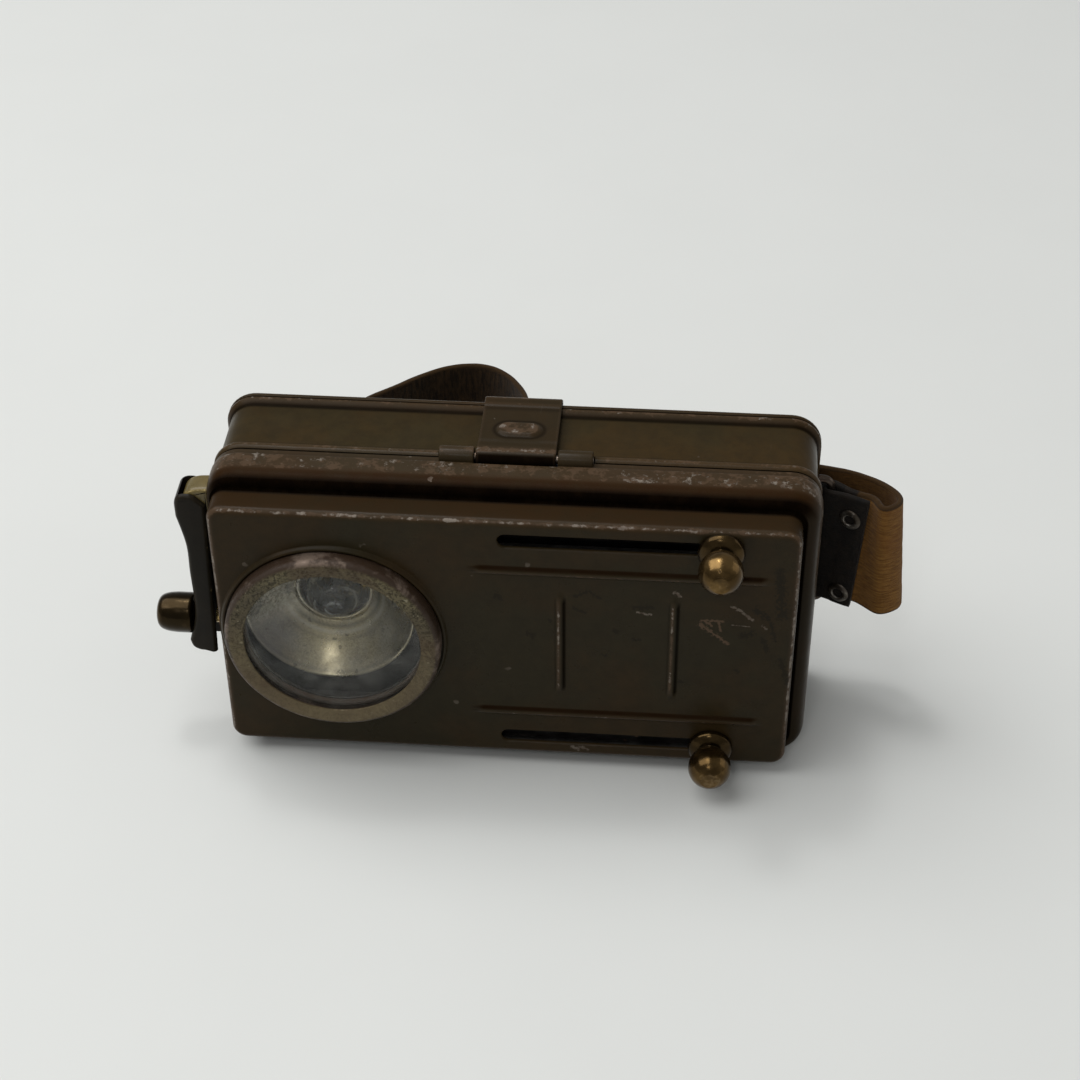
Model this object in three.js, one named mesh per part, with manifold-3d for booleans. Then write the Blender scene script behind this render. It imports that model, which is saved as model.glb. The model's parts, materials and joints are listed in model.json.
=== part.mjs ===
// Signal flashlight for a flat battery, lying on its long side: a two-part steel case with a lamp
// window, two colour slides, a signalling lever, a hinged back and a leather strap.
// Millimetres, +Z up. The front faces -Y, the lamp window is at the -X end.
import * as THREE from 'three';
import { mergeVertices } from 'three/addons/utils/BufferGeometryUtils.js';
import Module from 'manifold-3d';

const wasm = await Module();
wasm.setup();

// Clearances, the overrun of cutting bodies and the fineness of round shapes
const seat = 0.3;
const running = 0.3;
const overrun = 1;
const quarterSteps = 3;
const cornerSteps = 4;
const fineRound = 32;
const round = 16;
const smallRound = 8;
const wireSteps = 24;
const strapSteps = 60;

// Case: the panel stands out of the shoulder, nearer to the window end
const caseLength = 117.4;
const caseHeight = 66.5;
const caseDepth = 33.9;
const caseCorner = 6.2;
const sheet = 0.6;
const panelLength = 112;
const panelHeight = 60;
const panelCorner = 3;
const panelEdge = 1.4;
const panelRise = 6.3;
const shoulderEdge = 2.2;
const seamDepth = 15.4;
const seamGap = 0.3;
const windowEndStep = 1.5;
const panelCentreX = windowEndStep + (panelLength - caseLength) / 2;
const panelStep = (caseHeight - panelHeight) / 2;
const frontEdgeY = seamDepth - seamGap / 2;
const backEdgeY = seamDepth + seamGap / 2;
const restY = (panelRise + shoulderEdge + frontEdgeY) / 2;

// Rear cover: bead at the seam, sunk band, rim with a rounded back edge
const beadInset = 0.1;
const beadLip = 0.4;
const beadWidth = 2;
const bandInset = 0.9;
const rimStart = 30.2;
const rimRise = 0.9;
const rimEdge = 1.5;
const bandInside = bandInset + sheet;

// Closing lip inside the seam
const lipStart = 12;
const lipSheet = 0.5;
const lipGap = 0.2;
const lipReach = 1.35;
const lipInside = sheet + lipGap + lipSheet;

// Pressed ridges on the panel
const ridgeRadius = 0.85;
const ridgeRiseShare = 0.6;
const ridgeZ = 18.2;
const ridgeLeft = -6.9;
const ridgeRight = 48.5;
const uprightLength = 24.4;
const uprightPitch = 21.8;
const uprightMiddle = 20.6;

// Lamp window, bezel and lens
const windowInset = 24.3;
const lensX = windowInset - caseLength / 2;
const bezelRadius = 21.15;
const bezelRise = 3.75;
const bezelWall = 0.75;
const bezelRounding = 1.3;
const bezelOpening = 17.3;
const lipThickness = 0.8;
const bezelTubeRadius = 19.1;
const bezelTubeWall = 0.5;
const bezelTubeEnd = 1.5;
const collarFoot = 22.3;
const collarRise = 0.7;
const collarSlope = 0.4;
const lockRingWidth = 1.7;
const lockRingThickness = 0.5;
const lensThickness = 1.4;
const gasketThickness = 1;
const snapRingThickness = 0.6;
const innerRingWidth = 0.9;
const tubeInside = bezelTubeRadius - bezelTubeWall;

// Colour slides, their slots and knobs
const slotZ = 25.3;
const slotWidth = 3;
const knobInset = 18.9;
const knobRestX = caseLength / 2 - knobInset;
const knobTravel = 40.4;
const frontSlideY = 2;
const slidePitch = 1.9;
const slideSheet = 0.8;
const slideHalfWidth = 20.2;
const slideHalfHeight = 21.5;
const slideReach = 27.2;
const slideArmEnd = 3;
const slideArmRoot = 12;
const slideCorner = 4.5;
const filterRadius = 17.8;
const filterThickness = 0.5;
const stemRadius = 1.3;
const collarRadius = 4.5;
const collarThickness = 1.3;
const neckRadius = 2.1;
const ballRadius = 3.92;
const ballCentreRise = 6.3;
const ballFacetRadius = 1.3;
const rivetPinRadius = 0.9;
const rivetHeadRadius = 1.7;
const rivetHeadThickness = 0.6;
const guideHeight = 0.8;
const guideRight = 43.6;
const filterRestX = lensX + knobTravel;
const knobOffset = knobRestX - filterRestX;

// Inner frame and reflector
const frameSheet = 0.6;
const frameY = panelRise + sheet + seat;
const shelfLeft = -6;
const reflectorRim = 18.6;
const reflectorMouth = 16.5;
const reflectorMouthY = 5.7;
const reflectorDepth = 7.8;
const reflectorNeck = 7.1;
const reflectorWall = 0.5;
const reflectorOffset = 2;
const reflectorY = frameY + frameSheet + seat;
const lampX = lensX - reflectorOffset;
const frameHole = reflectorMouth + reflectorWall + seat;

// Bulb, socket, bridge and contacts
const globeRadius = 5.6;
const globeFront = 7.6;
const globeNeck = 3.6;
const capStart = 18.6;
const capRadius = 4.6;
const capLength = 8.4;
const tipRadius = 1.8;
const tipLength = 1.1;
const sleeveRadius = 5.4;
const sleeveWall = 0.5;
const flangeY = 17;
const sleeveEnd = 26.4;
const flangeRadius = 8.6;
const flangeThickness = 0.6;
const bridgeWidth = 14;
const bridgeThickness = 1.2;
const bridgeHalfSpan = 22.6;
const bridgeFoot = 5;
const bridgeRivetRadius = 1.5;
const contactSheet = 0.4;
const contactWidth = 5;
const contactRise = 5;
const contactFootZ = 19;
const contactKneeZ = 13;
const contactEndZ = -3;
const leadHalfWidth = 5;
const leadMiddleZ = -3;

// Flat battery
const lampEndRoom = 58.4;
const sideRoom = 2.5;
const frontRoom = 12.4;
const batteryLength = caseLength - lampEndRoom;
const batteryHeight = caseHeight - sideRoom * 2;
const batteryDepth = caseDepth - frontRoom;
const batteryCorner = 7;
const batteryLidDepth = 2;
const batteryLidInset = 0.8;
const stripWidth = 6;
const stripSheet = 0.3;
const longStripReach = 33;
const shortStripReach = 6.5;
const shortStripY = 12.5;
const longStripY = 26;

// Switch on the window end: base, lever, pin, spring, stud and contact knob
const leverY = 11.2;
const leverDepth = 7.2;
const leverSheet = 0.9;
const leverTop = 26.6;
const leverPinZ = 21.3;
const leverPinOut = 2.2;
const leverPinRadius = 0.8;
const leverHeadOut = 5.8;
const leverWaistOut = 4.5;
const leverWaistZ = 7;
const leverFlareOut = 6.9;
const leverFlareZ = -10.9;
const leverBottom = -13.5;
const leverRootTop = 0.5;
const leverRootBottom = 2.3;
const leverSlant = 2.5;
const baseTop = 27.8;
const baseBottom = 16.5;
const baseOut = 3.6;
const basePlate = 0.8;
const contactZ = -6.2;
const knobStart = 7.3;
const knobNeckRadius = 2;
const knobNeckStart = 6.7;
const contactKnobRadius = 3.95;
const contactKnobEnd = 12.9;
const contactKnobEdge = 2;
const screwRadius = 1.4;
const screwTip = 3;
const studHeadRadius = 1.7;
const studHeadThickness = 0.6;
const studRadius = 0.9;
const washerRadius = 2.6;
const washerThickness = 0.5;
const washerCore = 1.9;
const springSheet = 0.35;
const springWidth = 4;

// Hinge on the upper long side
const tabWidth = 15.2;
const hingeLength = 29.3;
const knuckleGap = 0.4;
const knuckleRadius = 1.9;
const pinRadius = 0.8;
const pinClearance = 0.2;
const curlStartDegrees = -30;
const curlEndDegrees = -270;
const quarterTurnDegrees = 90;
const leafSheet = 0.7;
const leafDrop = 8.6;
const leafLift = 0.25;
const leafRivetRadius = 1.4;
const leafRivetRise = 0.6;
const leafRivetSpread = 4.2;
const pillLength = 8.4;
const pillWidth = 3.4;
const pillRise = 0.5;
const pillPlaceShare = 0.42;
const hingeX = 0.3;
const hingeZ = caseHeight / 2;

// Battery pressure spring in the rear cover
const bowSheet = 0.4;
const bowWidth = 14;
const bowLeft = 4;
const bowRight = 44;
const bowFoot = 6;
const bowRivetRadius = 1.3;

// Strap and its wire loops
const strapWidth = 27.5;
const strapMiddleZ = 4;
const strapThickness = 1.5;
const strapLayerGap = 0.3;
const wireRadius = 0.8;
const wireGap = 0.15;
const wireHalfLength = 15.4;
const wireBend = 2;
const wireFoot = 1.5;
const wireSink = 1.4;
const wireRightY = 31;
const wireLeftX = -48.3;
const foldReach = 8.8;
const foldSettle = 3.8;
const rightFoldAngle = -25.5;
const leftFoldAngle = 56;
const loopReach = 18.6;
const loopDepth = 11;
const loopLead = 14.3;
const archHeight = 33.4;
const eyeletReach = 5.6;
const eyeletSpread = 9.5;
const eyeletRadius = 1.2;
const eyeletBore = 0.75;
const eyeletFlange = 2;
const eyeletFlangeThickness = 0.4;
const foldRadius = wireRadius + wireGap + strapThickness / 2;
const foldOuter = foldRadius + strapThickness / 2;
const wireRightX = caseLength / 2 + lipGap + foldOuter;
const wireLeftY = caseDepth + lipGap + foldOuter;

// Materials: colour, roughness and metalness
function material(color, roughness, metalness) {
  return new THREE.MeshStandardMaterial({ color, roughness, metalness });
}
const brownPaint = () => material(0x3a2d20, 0.45, 0.35);
const darkPaint = () => material(0x2a2622, 0.5, 0.3);
const agedBrass = () => material(0x7a6233, 0.4, 0.9);
const brightBrass = () => material(0xb08a3c, 0.35, 0.95);
const wornRing = () => material(0x8a7a66, 0.55, 0.5);
const steel = () => material(0x8d8a85, 0.4, 0.9);
const silvered = () => material(0xcfc8b8, 0.3, 0.9);
const glass = () => material(0xdfe6e6, 0.1, 0);
const redFilter = () => material(0xa81c14, 0.3, 0);
const greenFilter = () => material(0x1d6b3a, 0.3, 0);
const fibre = () => material(0x6b3a22, 0.8, 0);
const cork = () => material(0x9a7448, 0.9, 0);
const cardboard = () => material(0x394a63, 0.8, 0);
const bitumen = () => material(0x1c1a18, 0.7, 0);
const leather = () => material(0x7d5a30, 0.85, 0);

// Solids
function bareGeometry(geometry) {
  const bare = new THREE.BufferGeometry();
  bare.setAttribute('position', geometry.getAttribute('position').clone());
  if (geometry.index) {
    bare.setIndex(geometry.index.clone());
  }
  return mergeVertices(bare);
}

function signedVolume(geometry) {
  const place = geometry.getAttribute('position');
  const index = geometry.index;
  const a = new THREE.Vector3();
  const b = new THREE.Vector3();
  const c = new THREE.Vector3();
  let total = 0;
  for (let i = 0; i < index.count; i += 3) {
    a.fromBufferAttribute(place, index.getX(i));
    b.fromBufferAttribute(place, index.getX(i + 1));
    c.fromBufferAttribute(place, index.getX(i + 2));
    total += a.dot(b.cross(c));
  }
  return total;
}

function outwardGeometry(geometry) {
  const bare = bareGeometry(geometry);
  if (signedVolume(bare) < 0) {
    const order = Array.from(bare.index.array);
    for (let i = 0; i < order.length; i += 3) {
      [order[i], order[i + 1]] = [order[i + 1], order[i]];
    }
    bare.setIndex(order);
  }
  return bare;
}

function toSolid(geometry) {
  const bare = outwardGeometry(geometry);
  return new wasm.Manifold(new wasm.Mesh({
    numProp: 3,
    vertProperties: new Float32Array(bare.getAttribute('position').array),
    triVerts: new Uint32Array(bare.index.array),
  }));
}

function toGeometry(solid) {
  const mesh = solid.getMesh();
  const geometry = new THREE.BufferGeometry();
  geometry.setAttribute('position', new THREE.BufferAttribute(mesh.vertProperties, 3));
  geometry.setIndex(new THREE.BufferAttribute(mesh.triVerts, 1));
  geometry.computeVertexNormals();
  return geometry;
}

function join(first, ...others) {
  return toGeometry(others.reduce((sum, other) => sum.add(toSolid(other)), toSolid(first)));
}

function cut(first, ...others) {
  return toGeometry(others.reduce((rest, other) => rest.subtract(toSolid(other)), toSolid(first)));
}

// Outlines
function roundedOutline(halfX, halfY, corner, centreX = 0) {
  const points = [];
  const centres = [[1, 1], [-1, 1], [-1, -1], [1, -1]];
  centres.forEach(([sideX, sideY], quarter) => {
    for (let i = 0; i <= cornerSteps; i++) {
      const angle = (quarter + i / cornerSteps) * Math.PI / 2;
      const x = centreX + sideX * (halfX - corner) + corner * Math.cos(angle);
      const y = sideY * (halfY - corner) + corner * Math.sin(angle);
      points.push(new THREE.Vector2(x, y));
    }
  });
  return points;
}

function stadium(left, right, radius, middleY) {
  const shape = new THREE.Shape();
  shape.absarc(right - radius, middleY, radius, -Math.PI / 2, Math.PI / 2);
  shape.absarc(left + radius, middleY, radius, Math.PI / 2, Math.PI * 3 / 2);
  return shape;
}

// A strip of even thickness along a line of points
function ribbon(points, thickness) {
  const left = [];
  const right = [];
  points.forEach((point, i) => {
    const before = points[Math.max(i - 1, 0)];
    const after = points[Math.min(i + 1, points.length - 1)];
    const along = after.clone().sub(before).normalize();
    const side = new THREE.Vector2(-along.y, along.x).multiplyScalar(thickness / 2);
    left.push(point.clone().add(side));
    right.push(point.clone().sub(side));
  });
  return new THREE.Shape([...left, ...right.reverse()]);
}

function arcPoints(centre, radius, startDegrees, endDegrees, steps) {
  const points = [];
  for (let i = 0; i <= steps; i++) {
    const angle = THREE.MathUtils.degToRad(THREE.MathUtils.lerp(startDegrees, endDegrees, i / steps));
    points.push(new THREE.Vector2(centre.x + radius * Math.cos(angle), centre.y + radius * Math.sin(angle)));
  }
  return points;
}

// Bodies from outlines: along each axis, turned about the depth axis or the length axis
function alongZ(shape, from, to) {
  const options = { depth: to - from, bevelEnabled: false, curveSegments: quarterSteps * 2 };
  return new THREE.ExtrudeGeometry(shape, options).translate(0, 0, from);
}

function alongY(shape, from, to) {
  return alongZ(shape, 0, to - from).rotateX(Math.PI / 2).translate(0, to, 0);
}

function alongX(shape, from, to) {
  const turn = new THREE.Matrix4().makeBasis(
    new THREE.Vector3(0, 1, 0), new THREE.Vector3(0, 0, 1), new THREE.Vector3(1, 0, 0));
  return alongZ(shape, 0, to - from).applyMatrix4(turn).translate(from, 0, 0);
}

function turned(profile, segments) {
  const points = profile.map(([radius, y]) => new THREE.Vector2(radius, y));
  return outwardGeometry(new THREE.LatheGeometry(points, segments));
}

function ringProfile(inner, outer, from, to) {
  return [[inner, from], [outer, from], [outer, to], [inner, to], [inner, from]];
}

function discProfile(radius, from, to) {
  return [[0, from], [radius, from], [radius, to], [0, to]];
}

function turnedAboutX(profile, segments) {
  return turned(profile, segments).rotateZ(-Math.PI / 2);
}

function box(x1, x2, y1, y2, z1, z2) {
  const block = new THREE.BoxGeometry(x2 - x1, y2 - y1, z2 - z1);
  return block.translate((x1 + x2) / 2, (y1 + y2) / 2, (z1 + z2) / 2);
}

// A closed body through rings of equal count, with a flat cap at each end
function loft(rings) {
  const count = rings[0].points.length;
  const positions = [];
  rings.forEach(({ points, y }) => points.forEach((p) => positions.push(p.x, y, p.y)));
  const indices = [];
  for (let k = 0; k + 1 < rings.length; k++) {
    for (let i = 0; i < count; i++) {
      const a = k * count + i;
      const b = k * count + (i + 1) % count;
      indices.push(a, b, a + count, b, b + count, a + count);
    }
  }
  [[0, 1], [rings.length - 1, -1]].forEach(([k, side]) => {
    const { points, y } = rings[k];
    const middle = positions.length / 3;
    const centre = points.reduce((sum, p) => sum.add(p), new THREE.Vector2()).divideScalar(count);
    positions.push(centre.x, y, centre.y);
    for (let i = 0; i < count; i++) {
      const a = k * count + i;
      const b = k * count + (i + 1) % count;
      indices.push(middle, ...(side > 0 ? [b, a] : [a, b]));
    }
  });
  const geometry = new THREE.BufferGeometry();
  geometry.setAttribute('position', new THREE.Float32BufferAttribute(positions, 3));
  geometry.setIndex(indices);
  return outwardGeometry(geometry);
}

// The same for rings that close on themselves, like a hoop
function hoop(rings) {
  const count = rings[0].points.length;
  const positions = [];
  rings.forEach(({ points, y }) => points.forEach((p) => positions.push(p.x, y, p.y)));
  const indices = [];
  for (let k = 0; k < rings.length; k++) {
    for (let i = 0; i < count; i++) {
      const next = (k + 1) % rings.length;
      const a = k * count + i;
      const b = k * count + (i + 1) % count;
      const c = next * count + i;
      const d = next * count + (i + 1) % count;
      indices.push(a, b, c, b, d, c);
    }
  }
  const geometry = new THREE.BufferGeometry();
  geometry.setAttribute('position', new THREE.Float32BufferAttribute(positions, 3));
  geometry.setIndex(indices);
  return outwardGeometry(geometry);
}

// A ring of the case: spread 0 is the panel's outline, 1 the shoulder's
function caseRing(spread, inset, y) {
  const halfX = THREE.MathUtils.lerp(panelLength, caseLength, spread) / 2 - inset;
  const halfZ = THREE.MathUtils.lerp(panelHeight, caseHeight, spread) / 2 - inset;
  const corner = THREE.MathUtils.lerp(panelCorner, caseCorner, spread) - inset;
  const centreX = THREE.MathUtils.lerp(panelCentreX, 0, spread);
  return { points: roundedOutline(halfX, halfZ, corner, centreX), y };
}

// Shares of a quarter turn: how far in and how far along a rounded edge has come
function quarterShares() {
  const shares = [];
  for (let i = 0; i <= quarterSteps; i++) {
    const angle = i / quarterSteps * Math.PI / 2;
    shares.push([1 - Math.sin(angle), 1 - Math.cos(angle)]);
  }
  return shares;
}

// Case, front part
function hingeCut(from, to, radius) {
  return turnedAboutX(discProfile(radius, from, to), round).translate(hingeX, seamDepth, hingeZ);
}

function knuckle(from, to) {
  const profile = ringProfile(pinRadius + pinClearance, knuckleRadius, from, to);
  return turnedAboutX(profile, round).translate(hingeX, seamDepth, hingeZ);
}

function hingePin() {
  return turnedAboutX(discProfile(pinRadius, -hingeLength / 2, hingeLength / 2), smallRound)
    .translate(hingeX, seamDepth, hingeZ);
}

function ridge(length) {
  const straight = length - ridgeRadius * 2;
  return new THREE.CapsuleGeometry(ridgeRadius, straight, quarterSteps, smallRound);
}

function frontShell() {
  const quarter = quarterShares();
  const innerPanelEdge = panelEdge - sheet;
  const innerShoulderEdge = shoulderEdge - sheet;
  const shell = loft([
    ...quarter.map(([inward, along]) => caseRing(0, panelEdge * inward, panelEdge * along)),
    caseRing(0, 0, panelRise),
    ...quarter.map(([inward, along]) => caseRing(
      1 - shoulderEdge / panelStep * inward, 0, panelRise + shoulderEdge * along)),
    caseRing(1, 0, frontEdgeY),
    caseRing(1, sheet, frontEdgeY),
    ...quarter.toReversed().map(([inward, along]) => caseRing(
      1 - innerShoulderEdge / panelStep * inward, sheet, panelRise + sheet + innerShoulderEdge * along)),
    caseRing(0, sheet, panelRise + sheet),
    ...quarter.toReversed().map(([inward, along]) => caseRing(
      0, sheet + innerPanelEdge * inward, sheet + innerPanelEdge * along)),
  ]);
  const slotEnd = slotWidth / 2;
  const slots = [slotZ, -slotZ].map((z) => alongY(
    stadium(knobRestX - knobTravel - slotEnd, knobRestX + slotEnd, slotEnd, z), -overrun, sheet + overrun));
  const windowHole = turned(discProfile(bezelTubeRadius + seat, -overrun, sheet + overrun), fineRound);
  const studHole = turnedAboutX(
    discProfile(washerCore + seat, -caseLength / 2 - overrun, -caseLength / 2 + sheet + overrun), round);
  const knuckleLength = (hingeLength - tabWidth) / 2 - knuckleGap;
  const knuckleStarts = [-hingeLength / 2, hingeLength / 2 - knuckleLength];
  const knuckles = knuckleStarts.map((x) => knuckle(x, x + knuckleLength));
  const bore = hingeCut(-hingeLength / 2 - overrun, hingeLength / 2 + overrun, pinRadius + pinClearance);
  const collar = turned([
    [bezelRadius + seat, sheet / 2], [bezelRadius + seat, -collarRise],
    [collarFoot - collarSlope, -collarRise], [collarFoot, -collarRise + collarSlope],
    [collarFoot, sheet / 2], [bezelRadius + seat, sheet / 2],
  ], fineRound).translate(lensX, 0, 0);
  const lying = [ridgeZ, -ridgeZ].map((z) => ridge(ridgeRight - ridgeLeft)
    .rotateZ(Math.PI / 2).scale(1, ridgeRiseShare, 1).translate((ridgeLeft + ridgeRight) / 2, 0, z));
  const upright = [-1, 1].map((side) => ridge(uprightLength)
    .rotateX(Math.PI / 2).scale(1, ridgeRiseShare, 1)
    .translate(uprightMiddle + side * uprightPitch / 2, 0, 0));
  const tabHalf = tabWidth / 2 + knuckleGap;
  const opened = cut(shell, ...slots, windowHole.translate(lensX, 0, 0),
    studHole.translate(0, leverY, contactZ), hingeCut(-tabHalf, tabHalf, knuckleRadius + running));
  return cut(join(opened, ...knuckles, collar, ...lying, ...upright), bore);
}

function closingLip() {
  const outside = sheet + lipGap;
  const end = backEdgeY + lipReach;
  const band = hoop([
    caseRing(1, outside, lipStart), caseRing(1, outside, end),
    caseRing(1, lipInside, end), caseRing(1, lipInside, lipStart),
  ]);
  const hingeRoom = hingeLength / 2 + running;
  const studRoom = turnedAboutX(
    discProfile(washerRadius + running, -caseLength / 2, -caseLength / 2 + lipInside + overrun), round);
  return cut(band, hingeCut(-hingeRoom, hingeRoom, knuckleRadius + running),
    studRoom.translate(0, leverY, contactZ));
}

function innerFrame() {
  const inset = lipInside + seat;
  const back = frameY + frameSheet;
  const plate = loft([caseRing(1, inset, frameY), caseRing(1, inset, back)]);
  const edgeZ = caseHeight / 2 - inset;
  const right = caseLength / 2 - caseCorner;
  const shelfEnd = seamDepth - knuckleRadius - seat;
  const shelves = [
    box(shelfLeft, right, frameY, shelfEnd, edgeZ - frameSheet, edgeZ),
    box(shelfLeft, right, frameY, shelfEnd, -edgeZ, frameSheet - edgeZ),
  ];
  const hole = turned(discProfile(frameHole, frameY - overrun, back + overrun), fineRound);
  const rivetHoles = [1, -1].map((side) => turned(
    discProfile(rivetPinRadius + running, frameY - overrun, back + overrun), smallRound)
    .translate(lampX, 0, side * (bridgeHalfSpan + bridgeFoot / 2)));
  return cut(join(plate, ...shelves), hole.translate(lampX, 0, 0), ...rivetHoles);
}

// Lamp window
function bezelRing() {
  const face = -bezelRise;
  const under = face + lipThickness;
  const inner = bezelRadius - bezelWall;
  const crown = quarterShares().map(([inward, along]) => [
    bezelRadius - bezelRounding * inward, face + bezelRounding * along]);
  return turned([
    [bezelOpening, under], [bezelOpening, face + lipThickness / 2],
    [bezelOpening + lipThickness / 2, face], ...crown,
    [bezelRadius, -lipGap], [inner, -lipGap], [inner, under + lipThickness / 2],
    [inner - lipThickness / 2, under], [bezelTubeRadius, under], [bezelTubeRadius, bezelTubeEnd],
    [tubeInside, bezelTubeEnd], [tubeInside, under], [bezelOpening, under],
  ], fineRound);
}

function windowRings() {
  const lensFront = lipThickness + seat - bezelRise;
  const gasketFront = lensFront + lensThickness + seat;
  const snapFront = gasketFront + gasketThickness + seat;
  const outer = tubeInside - seat;
  const inner = outer - innerRingWidth;
  const lockInner = bezelTubeRadius + lipGap;
  const lockFront = sheet + lipGap;
  const lockProfile = ringProfile(
    lockInner, lockInner + lockRingWidth, lockFront, lockFront + lockRingThickness);
  return {
    lens: turned(discProfile(outer, lensFront, lensFront + lensThickness), fineRound),
    gasket: turned(ringProfile(inner, outer, gasketFront, gasketFront + gasketThickness), fineRound),
    snap: turned(ringProfile(inner, outer, snapFront, snapFront + snapRingThickness), fineRound),
    lock: turned(lockProfile, fineRound),
  };
}

// Reflector bowl: a parabola from the mouth to the neck, with a flange behind the inner frame
function reflector() {
  const neckY = reflectorMouthY + reflectorDepth;
  const slope = (reflectorMouth ** 2 - reflectorNeck ** 2) / reflectorDepth;
  const inside = [];
  for (let i = 0; i <= quarterSteps * 3; i++) {
    const radius = THREE.MathUtils.lerp(reflectorMouth, reflectorNeck, i / (quarterSteps * 3));
    inside.push([radius, neckY - (radius ** 2 - reflectorNeck ** 2) / slope]);
  }
  const flangeBack = reflectorY + reflectorWall;
  const skirt = reflectorMouth + reflectorWall;
  const outside = inside.toReversed()
    .map(([radius, y]) => [radius + reflectorWall, y + reflectorWall])
    .filter(([, y]) => y > flangeBack + reflectorWall);
  return turned([
    ...inside, ...outside, [reflectorMouth, flangeBack], [reflectorRim, flangeBack],
    [reflectorRim, reflectorY], [skirt, reflectorY], [skirt, reflectorMouthY], inside[0],
  ], fineRound);
}

// Bulb and its socket
function bulbGlass() {
  const centre = globeFront + globeRadius;
  const neckAngle = Math.asin(globeNeck / globeRadius);
  const profile = [];
  for (let i = 0; i <= quarterSteps * 3; i++) {
    const angle = (Math.PI - neckAngle) * i / (quarterSteps * 3);
    profile.push([globeRadius * Math.sin(angle), centre - globeRadius * Math.cos(angle)]);
  }
  return turned([...profile, [globeNeck, capStart - lipGap], [0, capStart - lipGap]], round);
}

function bulbCap() {
  const end = capStart + capLength;
  return turned([
    [0, capStart], [capRadius, capStart], [capRadius, end], [tipRadius, end + tipLength / 2],
    [tipRadius, end + tipLength], [0, end + tipLength],
  ], round);
}

function socketSleeve() {
  const inner = sleeveRadius - sleeveWall;
  const flangeBack = flangeY + flangeThickness;
  return turned([
    [inner, flangeY], [flangeRadius, flangeY], [flangeRadius, flangeBack], [sleeveRadius, flangeBack],
    [sleeveRadius, sleeveEnd], [inner, sleeveEnd], [inner, flangeY],
  ], round);
}

const bridgeY = flangeY + flangeThickness + seat;
const bridgeFootY = frameY + frameSheet + seat;

function bulbBridge() {
  const span = bridgeHalfSpan;
  const top = bridgeY + bridgeThickness;
  const footTop = bridgeFootY + bridgeThickness;
  const inside = span - bridgeThickness;
  const shape = new THREE.Shape([
    [bridgeFootY, -span - bridgeFoot], [footTop, -span - bridgeFoot], [footTop, -span], [top, -span],
    [top, span], [footTop, span], [footTop, span + bridgeFoot], [bridgeFootY, span + bridgeFoot],
    [bridgeFootY, inside], [bridgeY, inside], [bridgeY, -inside], [bridgeFootY, -inside],
  ].map(([y, z]) => new THREE.Vector2(y, z)));
  const body = alongX(shape, lampX - bridgeWidth / 2, lampX + bridgeWidth / 2);
  const hole = turned(discProfile(sleeveRadius + running, bridgeY - overrun, top + overrun), round);
  const rivetHoles = [1, -1].map((side) => turned(
    discProfile(rivetPinRadius + running, bridgeFootY - overrun, footTop + overrun), smallRound)
    .translate(lampX, 0, side * (span + bridgeFoot / 2)));
  return cut(body, hole.translate(lampX, 0, 0), ...rivetHoles);
}

function bridgeRivet(side) {
  const front = frameY - lipGap;
  const back = bridgeFootY + bridgeThickness + lipGap;
  const profile = [
    [0, front - rivetHeadThickness], [bridgeRivetRadius, front - rivetHeadThickness],
    [bridgeRivetRadius, front], [rivetPinRadius, front], [rivetPinRadius, back],
    [bridgeRivetRadius, back], [bridgeRivetRadius, back + rivetHeadThickness],
    [0, back + rivetHeadThickness],
  ];
  return turned(profile, smallRound).translate(lampX, 0, side * (bridgeHalfSpan + bridgeFoot / 2));
}

function tipContact() {
  const footY = bridgeY + bridgeThickness + seat + contactSheet / 2;
  const tipY = capStart + capLength + tipLength + seat + contactSheet / 2;
  const line = [[footY, contactFootZ], [footY, contactKneeZ], [tipY, contactRise], [tipY, contactEndZ]];
  const shape = ribbon(line.map(([y, z]) => new THREE.Vector2(y, z)), contactSheet);
  return alongX(shape, lampX - contactWidth / 2, lampX + contactWidth / 2);
}

function socketLead() {
  const backY = bridgeY + bridgeThickness + seat + contactSheet / 2;
  const wallX = -caseLength / 2 + bandInside + seat + contactSheet / 2;
  const start = lampX - sleeveRadius - seat;
  const line = [[start, backY], [wallX + contactSheet, backY], [wallX, backY - contactSheet],
    [wallX, leverY - washerRadius]];
  const shape = ribbon(line.map(([x, y]) => new THREE.Vector2(x, y)), contactSheet);
  return alongZ(shape, leadMiddleZ - leadHalfWidth, leadMiddleZ + leadHalfWidth);
}

// Colour slides. side 1 is the upper slide, behind; -1 the lower one, in front
function slideY(side) {
  return frontSlideY + (side > 0 ? slidePitch : 0);
}

function slideFrame(side) {
  const armTop = slideReach;
  const corners = [
    [-slideHalfWidth, -slideHalfHeight + slideCorner], [-slideHalfWidth + slideCorner, -slideHalfHeight],
    [slideHalfWidth - slideCorner, -slideHalfHeight], [slideHalfWidth, -slideHalfHeight + slideCorner],
    [slideHalfWidth, slideHalfHeight], [knobOffset + slideArmEnd, slideHalfHeight],
    [knobOffset + slideArmEnd, armTop], [-slideArmRoot, armTop],
    [-slideHalfWidth, slideHalfHeight - slideCorner],
  ];
  const shape = new THREE.Shape(corners.map(([x, z]) => new THREE.Vector2(x, z)));
  const y = slideY(side);
  const plate = alongY(shape, y, y + slideSheet);
  const hole = turned(discProfile(filterRadius + seat, y - overrun, y + slideSheet + overrun), fineRound);
  const pinHole = turned(
    discProfile(rivetPinRadius + lipGap, y - overrun, y + slideSheet + overrun), smallRound);
  const body = cut(plate, hole, pinHole.translate(knobOffset, 0, slotZ));
  return side > 0 ? body : outwardGeometry(body.scale(1, 1, -1));
}

function filterDisc(side) {
  const y = slideY(side) + (slideSheet - filterThickness) / 2;
  return turned(discProfile(filterRadius, y, y + filterThickness), fineRound);
}

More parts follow.
